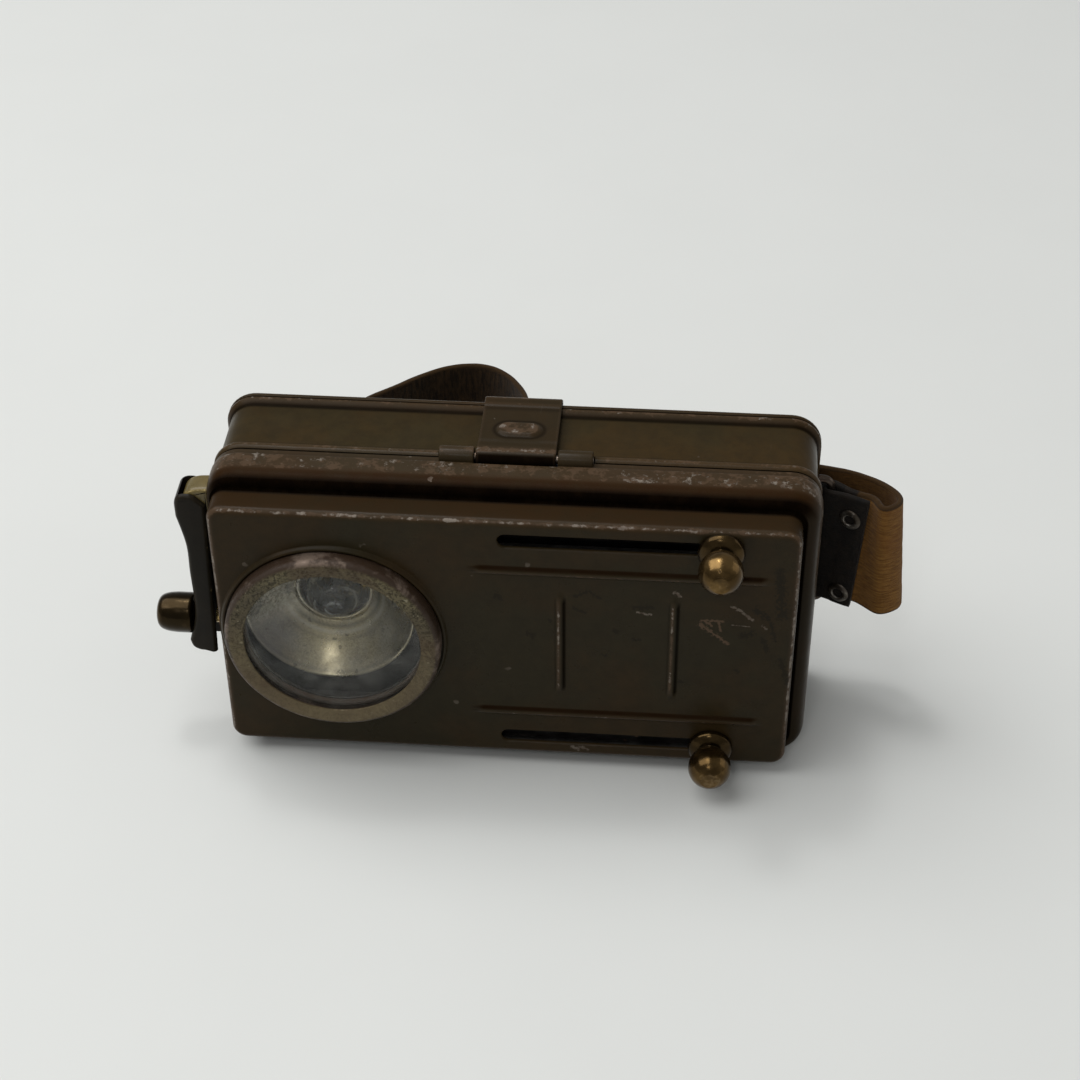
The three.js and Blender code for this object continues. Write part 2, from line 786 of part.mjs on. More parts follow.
function slideKnob(side) {
  const y = slideY(side);
  const armBack = y + slideSheet + lipGap;
  const ballY = -ballCentreRise;
  const facet = Math.asin(ballFacetRadius / ballRadius);
  const end = Math.PI - Math.asin(neckRadius / ballRadius);
  const ball = [];
  for (let i = 0; i <= quarterSteps * 2; i++) {
    const angle = THREE.MathUtils.lerp(facet, end, i / (quarterSteps * 2));
    ball.push([ballRadius * Math.sin(angle), ballY - ballRadius * Math.cos(angle)]);
  }
  const collarTop = -lipGap - collarThickness;
  return turned([
    [0, ball[0][1]], ...ball, [neckRadius, collarTop - collarThickness / 2],
    [collarRadius - collarThickness / 2, collarTop], [collarRadius, collarTop + collarThickness / 2],
    [collarRadius, -lipGap], [stemRadius, -lipGap], [stemRadius, y - lipGap],
    [rivetPinRadius, y - lipGap], [rivetPinRadius, armBack], [rivetHeadRadius, armBack],
    [rivetHeadRadius, armBack + rivetHeadThickness], [0, armBack + rivetHeadThickness],
  ], round).translate(knobOffset, 0, side * slotZ);
}

// Guide strips: the front pair is fixed to the panel and guides the lower slide,
// the rear pair is fixed to the inner frame and guides the upper slide
function guideStrip(side, z) {
  const y = slideY(side);
  const front = side > 0 ? y - lipGap : sheet + seat;
  const back = side > 0 ? frameY - seat : y + slideSheet + lipGap;
  const left = lensX - slideHalfWidth + slideCorner;
  const edges = [z, z + Math.sign(z) * guideHeight].sort((a, b) => a - b);
  return box(left, guideRight, front, back, ...edges);
}

// Switch on the window end. out is the distance from the end wall
function wallPoint(out, z) {
  return new THREE.Vector2(-caseLength / 2 - out, z);
}

function switchBase() {
  const lobe = baseTop - leverPinZ;
  const shape = new THREE.Shape([
    wallPoint(lipGap, baseBottom), wallPoint(lipGap, baseTop), wallPoint(baseOut - lobe / 4, baseTop),
    wallPoint(baseOut, baseTop - lobe / 4), wallPoint(baseOut, leverPinZ - lobe / 2),
    wallPoint(basePlate + lipGap, baseBottom + basePlate), wallPoint(basePlate + lipGap, baseBottom),
  ].reverse());
  const half = leverDepth / 2 - leverSheet - running;
  const pinHole = turned(discProfile(leverPinRadius + lipGap, -leverDepth, leverDepth), smallRound);
  return cut(alongY(shape, leverY - half, leverY + half),
    pinHole.translate(-caseLength / 2 - leverPinOut, leverY, leverPinZ));
}

function leverSide(inset) {
  const waist = leverWaistOut - inset;
  return new THREE.SplineCurve([
    wallPoint(leverHeadOut - inset, leverPinZ), wallPoint(waist, (leverPinZ + leverWaistZ) / 2),
    wallPoint(waist, leverWaistZ), wallPoint(waist, contactZ / 2),
    wallPoint(leverFlareOut - inset, leverFlareZ),
  ]).getPoints(quarterSteps * 4);
}

function signalLever() {
  const rounding = leverTop - leverPinZ;
  const outer = [
    wallPoint(leverRootTop, leverTop - leverSlant), wallPoint(leverRootTop + leverSlant, leverTop),
    wallPoint(leverHeadOut - rounding / 4, leverTop),
    wallPoint(leverHeadOut, leverTop - rounding / 4), ...leverSide(0),
    wallPoint(leverFlareOut - leverSheet / 2, leverBottom + leverSheet),
    wallPoint(leverFlareOut - leverSheet * 2, leverBottom), wallPoint(leverRootBottom, leverBottom),
  ];
  const inner = [
    wallPoint(-overrun, leverTop + overrun), wallPoint(leverHeadOut - leverSheet, leverTop + overrun),
    ...leverSide(leverSheet), wallPoint(leverFlareOut - leverSheet, leverBottom - overrun),
    wallPoint(-overrun, leverBottom - overrun),
  ];
  const half = leverDepth / 2;
  const body = alongY(new THREE.Shape(outer), leverY - half, leverY + half);
  const room = alongY(new THREE.Shape(inner), leverY - half + leverSheet, leverY + half - leverSheet);
  const pinHole = turned(discProfile(leverPinRadius + lipGap, -leverDepth, leverDepth), smallRound);
  const holeStart = -caseLength / 2 - knobNeckStart - overrun;
  const screwHole = turnedAboutX(
    discProfile(screwRadius + running, holeStart, -caseLength / 2 - screwTip), round);
  return cut(body, room, pinHole.translate(-caseLength / 2 - leverPinOut, leverY, leverPinZ),
    screwHole.translate(0, leverY, contactZ));
}

function leverPin() {
  const half = leverDepth / 2 + seat;
  return turned(discProfile(leverPinRadius, -half, half), smallRound)
    .translate(-caseLength / 2 - leverPinOut, leverY, leverPinZ);
}

function leverSpring() {
  const foot = basePlate / 2;
  const tipOut = leverWaistOut - leverSheet - seat - springSheet / 2;
  const line = new THREE.SplineCurve([
    wallPoint(foot, baseBottom - seat), wallPoint(foot, (baseBottom + leverWaistZ) / 2),
    wallPoint((foot + tipOut) / 2, leverWaistZ), wallPoint(tipOut, leverWaistZ / 2),
  ]).getPoints(quarterSteps * 2);
  return alongY(ribbon(line, springSheet), leverY - springWidth / 2, leverY + springWidth / 2);
}

function contactStud() {
  const wall = -caseLength / 2;
  const outside = wall - lipGap - washerThickness - lipGap;
  const inside = wall + sheet + lipGap + washerThickness + lipGap;
  return turnedAboutX([
    [0, outside - studHeadThickness], [studHeadRadius, outside - studHeadThickness],
    [studHeadRadius, outside], [studRadius, outside], [studRadius, inside], [studHeadRadius, inside],
    [studHeadRadius, inside + studHeadThickness / 2], [0, inside + studHeadThickness / 2],
  ], round).translate(0, leverY, contactZ);
}

function studWashers() {
  const wall = -caseLength / 2;
  const bore = studRadius + lipGap;
  const outside = wall - lipGap;
  const inside = wall + sheet + lipGap;
  return turnedAboutX([
    [bore, outside - washerThickness], [washerRadius, outside - washerThickness],
    [washerRadius, outside], [washerCore, outside], [washerCore, inside], [washerRadius, inside],
    [washerRadius, inside + washerThickness], [bore, inside + washerThickness],
    [bore, outside - washerThickness],
  ], round).translate(0, leverY, contactZ);
}

function contactKnob() {
  const wall = -caseLength / 2;
  const rounded = quarterShares().map(([inward, along]) => [
    contactKnobRadius - contactKnobEdge * inward, wall - contactKnobEnd + contactKnobEdge * along]);
  return turnedAboutX([
    [0, wall - contactKnobEnd], ...rounded, [contactKnobRadius, wall - knobStart],
    [knobNeckRadius, wall - knobStart], [knobNeckRadius, wall - knobNeckStart],
    [screwRadius, wall - knobNeckStart], [screwRadius, wall - screwTip - screwRadius / 2],
    [screwRadius / 2, wall - screwTip], [0, wall - screwTip],
  ], round).translate(0, leverY, contactZ);
}

// Battery
const batteryY = frameY + frameSheet + seat;
const cornerRoom = caseCorner - bandInside - seat - running;
const cornerOverhang = Math.max(batteryHeight / 2 - (caseHeight / 2 - caseCorner), 0);
const cornerReach = Math.sqrt(Math.max(cornerRoom ** 2 - cornerOverhang ** 2, 0));
const batteryRight = caseLength / 2 - caseCorner + cornerReach;
const batteryLeft = batteryRight - batteryLength;

function batterySection(inset) {
  const halfY = batteryDepth / 2 - inset;
  const halfZ = batteryHeight / 2 - inset;
  const centreY = batteryY + batteryDepth / 2;
  return new THREE.Shape(roundedOutline(halfY, halfZ, batteryCorner - inset, centreY));
}

function batteryStrip(points) {
  const line = points.map(([x, y]) => new THREE.Vector2(x, y));
  return alongZ(ribbon(line, stripSheet), -stripWidth / 2, stripWidth / 2);
}

function longStrip() {
  const lidX = batteryLeft - batteryLidDepth;
  const tipY = capStart + capLength + tipLength + seat * 2 + contactSheet + stripSheet / 2;
  const knee = longStripReach / 8;
  return batteryStrip([[lidX - seat, longStripY], [lidX - knee, tipY], [lidX - longStripReach, tipY]]);
}

function shortStrip() {
  const lidX = batteryLeft - batteryLidDepth;
  const frameBack = frameY + frameSheet + seat + stripSheet / 2;
  return batteryStrip([
    [lidX - seat, shortStripY], [lidX - shortStripReach / 2, (shortStripY + frameBack) / 2],
    [lidX - shortStripReach, frameBack]]);
}

// Back part
function leafLine() {
  const axis = new THREE.Vector2(seamDepth, hingeZ);
  const curl = pinRadius + pinClearance + leafSheet / 2;
  const topZ = hingeZ + leafLift + leafSheet / 2;
  const backY = caseDepth + leafLift + leafSheet / 2;
  const bend = new THREE.Vector2(backY - rimEdge, topZ - rimEdge);
  return [
    ...arcPoints(axis, curl, curlStartDegrees, curlEndDegrees, quarterSteps * 4),
    new THREE.Vector2(caseDepth - rimEdge, topZ),
    ...arcPoints(bend, rimEdge, quarterTurnDegrees, 0, quarterSteps).slice(1),
    new THREE.Vector2(backY, topZ - leafDrop),
  ];
}

function hingeLeaf() {
  const strip = alongX(ribbon(leafLine(), leafSheet), hingeX - tabWidth / 2, hingeX + tabWidth / 2);
  const pill = stadium(-pillLength / 2, pillLength / 2, pillWidth / 2, 0);
  const curl = pinRadius + pinClearance + leafSheet;
  const drop = Math.atan2(curl - leafLift - leafSheet, caseDepth - rimEdge - seamDepth);
  const pillY = THREE.MathUtils.lerp(seamDepth, caseDepth - rimEdge, pillPlaceShare);
  const pillZ = hingeZ + THREE.MathUtils.lerp(curl, leafLift + leafSheet, pillPlaceShare);
  const emboss = alongZ(pill, -leafSheet / 2, pillRise).rotateX(-drop).translate(hingeX, pillY, pillZ);
  const holeEnd = caseDepth + leafLift + leafSheet + overrun;
  const holes = leafRivetPlaces().map((place) => turned(
    discProfile(rivetPinRadius + lipGap, caseDepth - overrun, holeEnd), smallRound)
    .translate(place.x, 0, place.y));
  return cut(join(strip, emboss), ...holes);
}

function leafRivetPlaces() {
  const z = hingeZ - leafDrop * 2 / 3;
  return [-1, 1].map((side) => new THREE.Vector2(hingeX + side * leafRivetSpread, z));
}

function rivetThroughBack(place, headRadius, headRise, outerFace) {
  const inner = caseDepth - sheet - lipGap;
  const outer = outerFace + lipGap;
  return turned([
    [0, inner - rivetHeadThickness], [rivetHeadRadius, inner - rivetHeadThickness],
    [rivetHeadRadius, inner], [rivetPinRadius, inner], [rivetPinRadius, outer],
    [headRadius, outer], [headRadius * 2 / 3, outer + headRise], [0, outer + headRise],
  ], smallRound).translate(place.x, 0, place.y);
}

function leafRivet(place) {
  return rivetThroughBack(place, leafRivetRadius, leafRivetRise, caseDepth + leafLift + leafSheet);
}

const bowRivetPlaces = [bowLeft + bowFoot / 2, bowRight - bowFoot / 2].map((x) => new THREE.Vector2(x, 0));

function bowSpring() {
  const footY = caseDepth - sheet - seat - bowSheet / 2;
  const crownY = batteryY + batteryDepth + seat + bowSheet / 2;
  const span = bowRight - bowLeft - bowFoot * 2;
  const line = [new THREE.Vector2(bowLeft, footY)];
  for (let i = 0; i <= quarterSteps * 3; i++) {
    const share = i / (quarterSteps * 3);
    const rise = (1 - Math.cos(share * Math.PI * 2)) / 2;
    line.push(new THREE.Vector2(
      bowLeft + bowFoot + span * share, THREE.MathUtils.lerp(footY, crownY, rise)));
  }
  line.push(new THREE.Vector2(bowRight, footY));
  const strip = alongZ(ribbon(line, bowSheet), -bowWidth / 2, bowWidth / 2);
  const holes = bowRivetPlaces.map((place) => turned(
    discProfile(rivetPinRadius + lipGap, footY - overrun, caseDepth + overrun), smallRound)
    .translate(place.x, 0, place.y));
  return cut(strip, ...holes);
}

function bowRivet(place) {
  const head = caseDepth - sheet - seat - bowSheet - lipGap;
  return turned([
    [0, head - rivetHeadThickness], [rivetHeadRadius, head - rivetHeadThickness],
    [rivetHeadRadius, head], [rivetPinRadius, head], [rivetPinRadius, caseDepth + lipGap],
    [bowRivetRadius, caseDepth + lipGap], [bowRivetRadius * 2 / 3, caseDepth + lipGap + leafRivetRise],
    [0, caseDepth + lipGap + leafRivetRise],
  ], smallRound).translate(place.x, 0, place.y);
}

const wireFeet = [strapMiddleZ + wireHalfLength, strapMiddleZ - wireHalfLength];

function rearCover() {
  const quarter = quarterShares();
  const beadEnd = backEdgeY + beadWidth;
  const innerEdge = rimEdge - sheet;
  const shell = loft([
    ...quarter.map(([inward, along]) => caseRing(1, rimEdge * inward, caseDepth - rimEdge * along)),
    caseRing(1, 0, rimStart + rimRise), caseRing(1, bandInset, rimStart),
    caseRing(1, bandInset, beadEnd), caseRing(1, beadInset + beadLip, beadEnd - beadLip / 2),
    caseRing(1, beadInset, beadEnd - beadLip * 2), caseRing(1, beadInset, backEdgeY + beadLip),
    caseRing(1, beadInset + beadLip / 2, backEdgeY),
    caseRing(1, sheet, backEdgeY), caseRing(1, sheet, beadEnd - beadLip),
    caseRing(1, bandInside, beadEnd + beadLip),
    ...quarter.toReversed().map(([inward, along]) => caseRing(
      1, bandInside + innerEdge * inward, caseDepth - sheet - innerEdge * along)),
  ]);
  const hingeRoom = hingeLength / 2 + running;
  const footHole = wireRadius + lipGap;
  const rightHoles = wireFeet.map((z) => turnedAboutX(
    discProfile(footHole, caseLength / 2 - bandInside - overrun, caseLength / 2 + overrun), smallRound)
    .translate(0, wireRightY, z));
  const leftHoles = wireFeet.map((z) => turned(
    discProfile(footHole, caseDepth - sheet - overrun, caseDepth + overrun), smallRound)
    .translate(wireLeftX, 0, z));
  const rivetHoles = [...leafRivetPlaces(), ...bowRivetPlaces].map((place) => turned(
    discProfile(rivetPinRadius + lipGap, caseDepth - sheet - overrun, caseDepth + overrun), smallRound)
    .translate(place.x, 0, place.y));
  return cut(shell, hingeCut(-hingeRoom, hingeRoom, knuckleRadius + running),
    ...rightHoles, ...leftHoles, ...rivetHoles);
}

// Wire loop in a plane: two feet out of the wall, bends, and a straight bar that holds the strap
class WireLoop extends THREE.CurvePath {
  constructor(reach) {
    super();
    const at = (x, z) => new THREE.Vector3(x, 0, z);
    const end = wireHalfLength;
    const beforeBend = reach - wireBend;
    const afterBend = end - wireBend;
    this.add(new THREE.LineCurve3(at(-wireFoot, end), at(beforeBend, end)));
    this.add(new THREE.QuadraticBezierCurve3(at(beforeBend, end), at(reach, end), at(reach, afterBend)));
    this.add(new THREE.LineCurve3(at(reach, afterBend), at(reach, -afterBend)));
    this.add(new THREE.QuadraticBezierCurve3(at(reach, -afterBend), at(reach, -end), at(beforeBend, -end)));
    this.add(new THREE.LineCurve3(at(beforeBend, -end), at(-wireFoot, -end)));
  }
}

function wireLoop(reach) {
  const section = new THREE.Shape();
  section.absarc(0, 0, wireRadius, 0, Math.PI * 2);
  const options = {
    steps: wireSteps, bevelEnabled: false, curveSegments: quarterSteps * 2, extrudePath: new WireLoop(reach),
  };
  return outwardGeometry(new THREE.ExtrudeGeometry(section, options));
}

// Strap. A folded end: the free tip lies outside the strap, joined through a turn round the wire
function foldedEnd(wire, degrees, side) {
  const along = new THREE.Vector2(1, 0).rotateAround(new THREE.Vector2(), THREE.MathUtils.degToRad(degrees));
  const outward = new THREE.Vector2(along.y, -along.x).multiplyScalar(side);
  const layer = (strapThickness + strapLayerGap) / 2;
  const at = (reach, offset) => wire.clone().addScaledVector(along, reach).addScaledVector(outward, offset);
  const start = degrees - side * quarterTurnDegrees;
  return {
    along,
    outward,
    points: [
      at(foldReach, layer), at((foldReach + foldSettle) / 2, layer), at(foldSettle, layer),
      ...arcPoints(wire, foldRadius, start, start - side * quarterTurnDegrees * 2, quarterSteps * 2),
      at(foldSettle, -layer), at((foldReach + foldSettle) / 2, -layer), at(foldReach, -layer),
    ],
  };
}

const rightEnd = foldedEnd(new THREE.Vector2(wireRightX, wireRightY), rightFoldAngle, 1);
const leftEnd = foldedEnd(new THREE.Vector2(wireLeftX, wireLeftY), leftFoldAngle, -1);

// Places along the strap as shares: of the loop past the right end, then of the arch behind the back
const loopShares = [
  [0.7, 0.48], [0.84, 0.58], [0.9, 0.76], [0.86, 0.98], [0.72, 1.2], [0.48, 1.36], [0.14, 1.42],
];
const archShares = [
  [0.87, 0.08], [0.7, 0.07], [0.5, 0.08], [0.33, 0.12], [0.17, 0.2], [0.06, 0.34], [-0.003, 0.52],
  [-0.032, 0.72], [-0.077, 0.88], [-0.136, 0.97], [-0.215, 0.995], [-0.34, 0.9], [-0.48, 0.73], [-0.6, 0.56],
];

function strapLine() {
  const loop = loopShares.map(([x, y]) => new THREE.Vector2(
    caseLength / 2 + loopReach * x, caseDepth - loopLead + loopDepth * y));
  const arch = archShares.map(([x, y]) => new THREE.Vector2(
    caseLength / 2 * x, caseDepth + archHeight * y));
  const middle = new THREE.SplineCurve([
    ...rightEnd.points.slice(-2), ...loop, ...arch, ...leftEnd.points.slice(-2).reverse(),
  ]).getPoints(strapSteps);
  return [...rightEnd.points.slice(0, -2), ...middle, ...leftEnd.points.slice(0, -2).reverse()];
}

function eyeletPlaces(end, wire) {
  const middle = wire.clone().addScaledVector(end.along, eyeletReach);
  const turn = end.outward.angle();
  return [1, -1].map((side) => ({ middle, z: strapMiddleZ + side * eyeletSpread, turn }));
}

const rightEyelets = eyeletPlaces(rightEnd, new THREE.Vector2(wireRightX, wireRightY));
const leftEyelets = eyeletPlaces(leftEnd, new THREE.Vector2(wireLeftX, wireLeftY));

function acrossStrap(geometry, { middle, z, turn }) {
  return geometry.clone().rotateZ(turn - Math.PI / 2).translate(middle.x, middle.y, z);
}

function strap() {
  const bottom = strapMiddleZ - strapWidth / 2;
  const body = alongZ(ribbon(strapLine(), strapThickness), bottom, bottom + strapWidth);
  const half = strapThickness + strapLayerGap + overrun;
  const hole = turned(discProfile(eyeletRadius + running, -half, half), smallRound);
  return cut(body, ...[...rightEyelets, ...leftEyelets].map((place) => acrossStrap(hole, place)));
}

function eyelet(place) {
  const face = strapThickness + strapLayerGap / 2 + lipGap;
  const end = face + eyeletFlangeThickness;
  const tube = turned([
    [eyeletBore, -end], [eyeletFlange, -end], [eyeletFlange, -face], [eyeletRadius, -face],
    [eyeletRadius, face], [eyeletFlange, face], [eyeletFlange, end], [eyeletBore, end], [eyeletBore, -end],
  ], round);
  return acrossStrap(tube, place);
}

// Assembly: the lamp stands on the flat of its shoulder, and the origin is the middle of that flat
const lamp = new THREE.Group();
lamp.position.set(0, -restY, caseHeight / 2);

function addPiece(name, geometry, look, parent = lamp, x = 0, y = 0, z = 0) {
  const mesh = new THREE.Mesh(outwardGeometry(geometry), look());
  mesh.geometry.computeVertexNormals();
  mesh.name = name;
  mesh.position.set(x, y, z);
  parent.add(mesh);
}

addPiece('front_shell', frontShell(), brownPaint);
addPiece('closing_lip', closingLip(), steel);
addPiece('inner_frame', innerFrame(), steel);

const lampWindow = new THREE.Group();
lampWindow.position.set(lensX, 0, 0);
lamp.add(lampWindow);
const rings = windowRings();
addPiece('bezel_ring', bezelRing(), wornRing, lampWindow);
addPiece('bezel_lock_ring', rings.lock, steel, lampWindow);
addPiece('lens_glass', rings.lens, glass, lampWindow);
addPiece('lens_gasket', rings.gasket, cork, lampWindow);
addPiece('lens_snap_ring', rings.snap, steel, lampWindow);

const lampAxis = new THREE.Group();
lampAxis.position.set(lampX, 0, 0);
lamp.add(lampAxis);
addPiece('reflector', reflector(), silvered, lampAxis);
addPiece('bulb_glass', bulbGlass(), glass, lampAxis);
addPiece('bulb_cap', bulbCap(), agedBrass, lampAxis);
addPiece('socket_sleeve', socketSleeve(), agedBrass, lampAxis);
addPiece('bulb_bridge', bulbBridge(), fibre);
addPiece('upper_bridge_rivet', bridgeRivet(1), steel);
addPiece('lower_bridge_rivet', bridgeRivet(-1), steel);
addPiece('tip_contact', tipContact(), brightBrass);
addPiece('socket_lead', socketLead(), brightBrass);

const slides = [['upper', 1, redFilter, 'red'], ['lower', -1, greenFilter, 'green']];
slides.forEach(([name, side, filter, colour]) => {
  const slide = new THREE.Group();
  slide.position.set(filterRestX, 0, 0);
  lamp.add(slide);
  addPiece(`${name}_slide_frame`, slideFrame(side), steel, slide);
  addPiece(`${colour}_filter`, filterDisc(side), filter, slide);
  addPiece(`${name}_slide_knob`, slideKnob(side), agedBrass, slide);
});
addPiece('front_upper_guide', guideStrip(-1, slideHalfHeight + seat), steel);
addPiece('front_lower_guide', guideStrip(-1, -slideReach - seat), steel);
addPiece('rear_upper_guide', guideStrip(1, slideReach + seat), steel);
addPiece('rear_lower_guide', guideStrip(1, -slideHalfHeight - seat), steel);

addPiece('switch_base', switchBase(), brightBrass);
addPiece('signal_lever', signalLever(), darkPaint);
addPiece('lever_pin', leverPin(), steel);
addPiece('lever_spring', leverSpring(), brightBrass);
addPiece('contact_stud', contactStud(), brightBrass);
addPiece('stud_washers', studWashers(), fibre);
addPiece('contact_knob', contactKnob(), agedBrass);

addPiece('battery_jacket', alongX(batterySection(0), batteryLeft, batteryRight), cardboard);
addPiece('battery_lid', alongX(
  batterySection(batteryLidInset), batteryLeft - batteryLidDepth, batteryLeft), bitumen);
addPiece('long_strip', longStrip(), brightBrass);
addPiece('short_strip', shortStrip(), brightBrass);

addPiece('rear_cover', rearCover(), brownPaint);
addPiece('hinge_leaf', hingeLeaf(), brownPaint);
leafRivetPlaces().forEach((at, i) => addPiece(`leaf_rivet_${i + 1}`, leafRivet(at), steel));
addPiece('hinge_pin', hingePin(), steel);
addPiece('battery_spring', bowSpring(), steel);
bowRivetPlaces.forEach((at, i) => addPiece(`spring_rivet_${i + 1}`, bowRivet(at), steel));
addPiece('right_strap_wire', wireLoop(wireRightX - caseLength / 2 + wireSink), steel, lamp,
  caseLength / 2 - wireSink, wireRightY, strapMiddleZ);
addPiece('left_strap_wire', wireLoop(wireLeftY - caseDepth).rotateZ(Math.PI / 2), steel, lamp,
  wireLeftX, caseDepth, strapMiddleZ);
addPiece('strap', strap(), leather);
[['right', rightEyelets], ['left', leftEyelets]].forEach(([side, places]) => places.forEach(
  (at, i) => addPiece(`${side}_eyelet_${i + 1}`, eyelet(at), steel)));

export default lamp;
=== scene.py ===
import json
import math

import bmesh
import bpy
import numpy as np
from mathutils import Matrix, Vector


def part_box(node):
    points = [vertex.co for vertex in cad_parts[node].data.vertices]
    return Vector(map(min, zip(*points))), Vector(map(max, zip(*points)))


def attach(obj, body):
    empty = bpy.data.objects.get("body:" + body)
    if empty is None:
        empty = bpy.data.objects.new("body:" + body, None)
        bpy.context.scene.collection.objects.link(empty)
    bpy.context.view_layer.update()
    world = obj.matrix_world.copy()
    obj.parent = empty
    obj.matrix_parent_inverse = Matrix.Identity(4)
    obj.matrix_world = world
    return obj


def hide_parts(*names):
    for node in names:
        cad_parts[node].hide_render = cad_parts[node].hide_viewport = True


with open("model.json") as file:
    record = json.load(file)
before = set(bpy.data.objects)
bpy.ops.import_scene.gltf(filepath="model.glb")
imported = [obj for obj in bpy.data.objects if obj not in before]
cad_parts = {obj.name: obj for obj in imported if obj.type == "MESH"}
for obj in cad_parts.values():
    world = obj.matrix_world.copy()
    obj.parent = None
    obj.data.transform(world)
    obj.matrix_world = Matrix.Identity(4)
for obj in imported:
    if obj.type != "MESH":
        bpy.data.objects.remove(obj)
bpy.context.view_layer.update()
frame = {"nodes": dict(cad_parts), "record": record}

print("frame loaded:", len(frame["nodes"]), "nodes")

mm = 0.001
caseOffset = np.array([0, -11.875, 33.25])  # mm from the case's own middle to the frame's origin
quarter = math.pi / 2


def smoothstep(value, low, high):
    t = np.clip((value - low) / (high - low), 0, 1)
    return t * t * (3 - 2 * t)


def wave(points, size, seed):
    # a slow wobble: three crossed sine waves, about size mm long
    k = 2 * math.pi / size
    x, y, z = np.moveaxis(np.asarray(points, float), -1, 0)
    return (np.sin(k * x * 0.83 + seed) + np.sin(k * (0.6 * x + 0.9 * z) + 2.1 * seed)
            + np.sin(k * (0.7 * y - 0.8 * z) + 3.7 * seed)) / 3


def unit(rows):
    return rows / np.linalg.norm(rows, axis=-1, keepdims=True)


def circle(steps):
    # angles once round, the first not repeated
    return np.linspace(0, 2 * math.pi, steps, endpoint=False)


def runLength(line):
    return np.concatenate([[0], np.cumsum(np.linalg.norm(np.diff(line, axis=0), axis=1))])


def gridFaces(index, closeAlong=False, closeAround=False):
    # the squares between neighbouring rows and columns of point numbers
    upper = index if closeAlong else index[:-1]
    lower = np.roll(index, -1, 0) if closeAlong else index[1:]
    if closeAround:
        corners = [upper, np.roll(upper, -1, 1), np.roll(lower, -1, 1), lower]
    else:
        corners = [upper[:, :-1], upper[:, 1:], lower[:, 1:], lower[:, :-1]]
    return np.stack(corners, -1).reshape(-1, 4).tolist()


def smoothShade(mesh, angle):
    # smooth everywhere, sharp only past the angle
    mesh.polygons.foreach_set("use_smooth", [True] * len(mesh.polygons))
    mesh.set_sharp_from_angle(angle=math.radians(angle))


def makeObject(name, points, faces, attributes=None, angle=35):
    # points in mm, faces as index lists; doubles merged and faces turned outwards
    mesh = bpy.data.meshes.new(name)
    mesh.from_pydata(((points + caseOffset) * mm).tolist(), [], [list(f) for f in faces])
    for label, values in (attributes or {}).items():
        layer = mesh.attributes.new(label, "FLOAT", "POINT")
        layer.data.foreach_set("value", np.asarray(values, np.float32).ravel())
    shape = bmesh.new()
    shape.from_mesh(mesh)
    bmesh.ops.remove_doubles(shape, verts=shape.verts, dist=2e-6)
    bmesh.ops.dissolve_degenerate(shape, edges=shape.edges, dist=1e-7)
    bmesh.ops.recalc_face_normals(shape, faces=shape.faces)
    shape.to_mesh(mesh)
    shape.free()
    smoothShade(mesh, angle)
    made = bpy.data.objects.new(name, mesh)
    bpy.context.scene.collection.objects.link(made)
    return made


def gridObject(name, grid, closeAlong=False, attributes=None, angle=35):
    # a surface through closed rings of points; open ends get one flat face each
    index = np.arange(grid[..., 0].size).reshape(grid.shape[:2])
    faces = gridFaces(index, closeAlong, True)
    if not closeAlong:
        faces += [index[row] for row in (0, -1) if np.ptp(grid[row], 0).max() > 1e-4]
    return makeObject(name, grid.reshape(-1, 3), faces, attributes, angle)


def rounded(points, radius, steps=4, closed=False):
    # each corner becomes a short curve that leaves both sides at radius from the corner
    points = np.asarray(points, float)
    count = len(points)
    radii = np.broadcast_to(radius, count)
    line = []
    for i in range(count):
        if not closed and i in (0, count - 1) or radii[i] == 0:
            line.append(points[i])
            continue
        sides = (points[i - 1] - points[i], points[(i + 1) % count] - points[i])
        start, end = (points[i] + unit(side) * min(radii[i], np.linalg.norm(side) * 0.49) for side in sides)
        t = np.linspace(0, 1, steps + 1)[:, None]
        line.extend((1 - t) ** 2 * start + 2 * t * (1 - t) * points[i] + t ** 2 * end)
    return np.array(line)


def discProfile(radius, low, high, edge=0.15, steps=3):
    # radius and height of a disc or pin, with its edges rounded
    return rounded([(0, low), (radius, low), (radius, high), (0, high)], (0, edge, edge, 0), steps)


def ringProfile(points, radius, steps):
    # a closed line of radius and height, its first point again at the end
    line = rounded(points, radius, steps, True)
    return np.concatenate([line, line[:1]])


def splineLine(points, count):
    # uniform Catmull-Rom through all points
    points = np.asarray(points, float)
    padded = np.concatenate([points[:1], points, points[-1:]])
    t = np.linspace(0, len(points) - 1, count)
    i = np.minimum(t.astype(int), len(points) - 2)
    u = (t - i)[:, None]
    a, b, c, d = padded[i], padded[i + 1], padded[i + 2], padded[i + 3]
    return 0.5 * (2 * b + (c - a) * u + (2 * a - 5 * b + 4 * c - d) * u ** 2
                  + (3 * b - a - 3 * c + d) * u ** 3)


def evenLine(points, spacing):
    # the same line with points an even distance apart
    length = runLength(points)
    at = np.linspace(0, length[-1], max(2, int(round(length[-1] / spacing)) + 1))
    return np.stack([np.interp(at, length, points[:, k]) for k in range(points.shape[1])], 1)


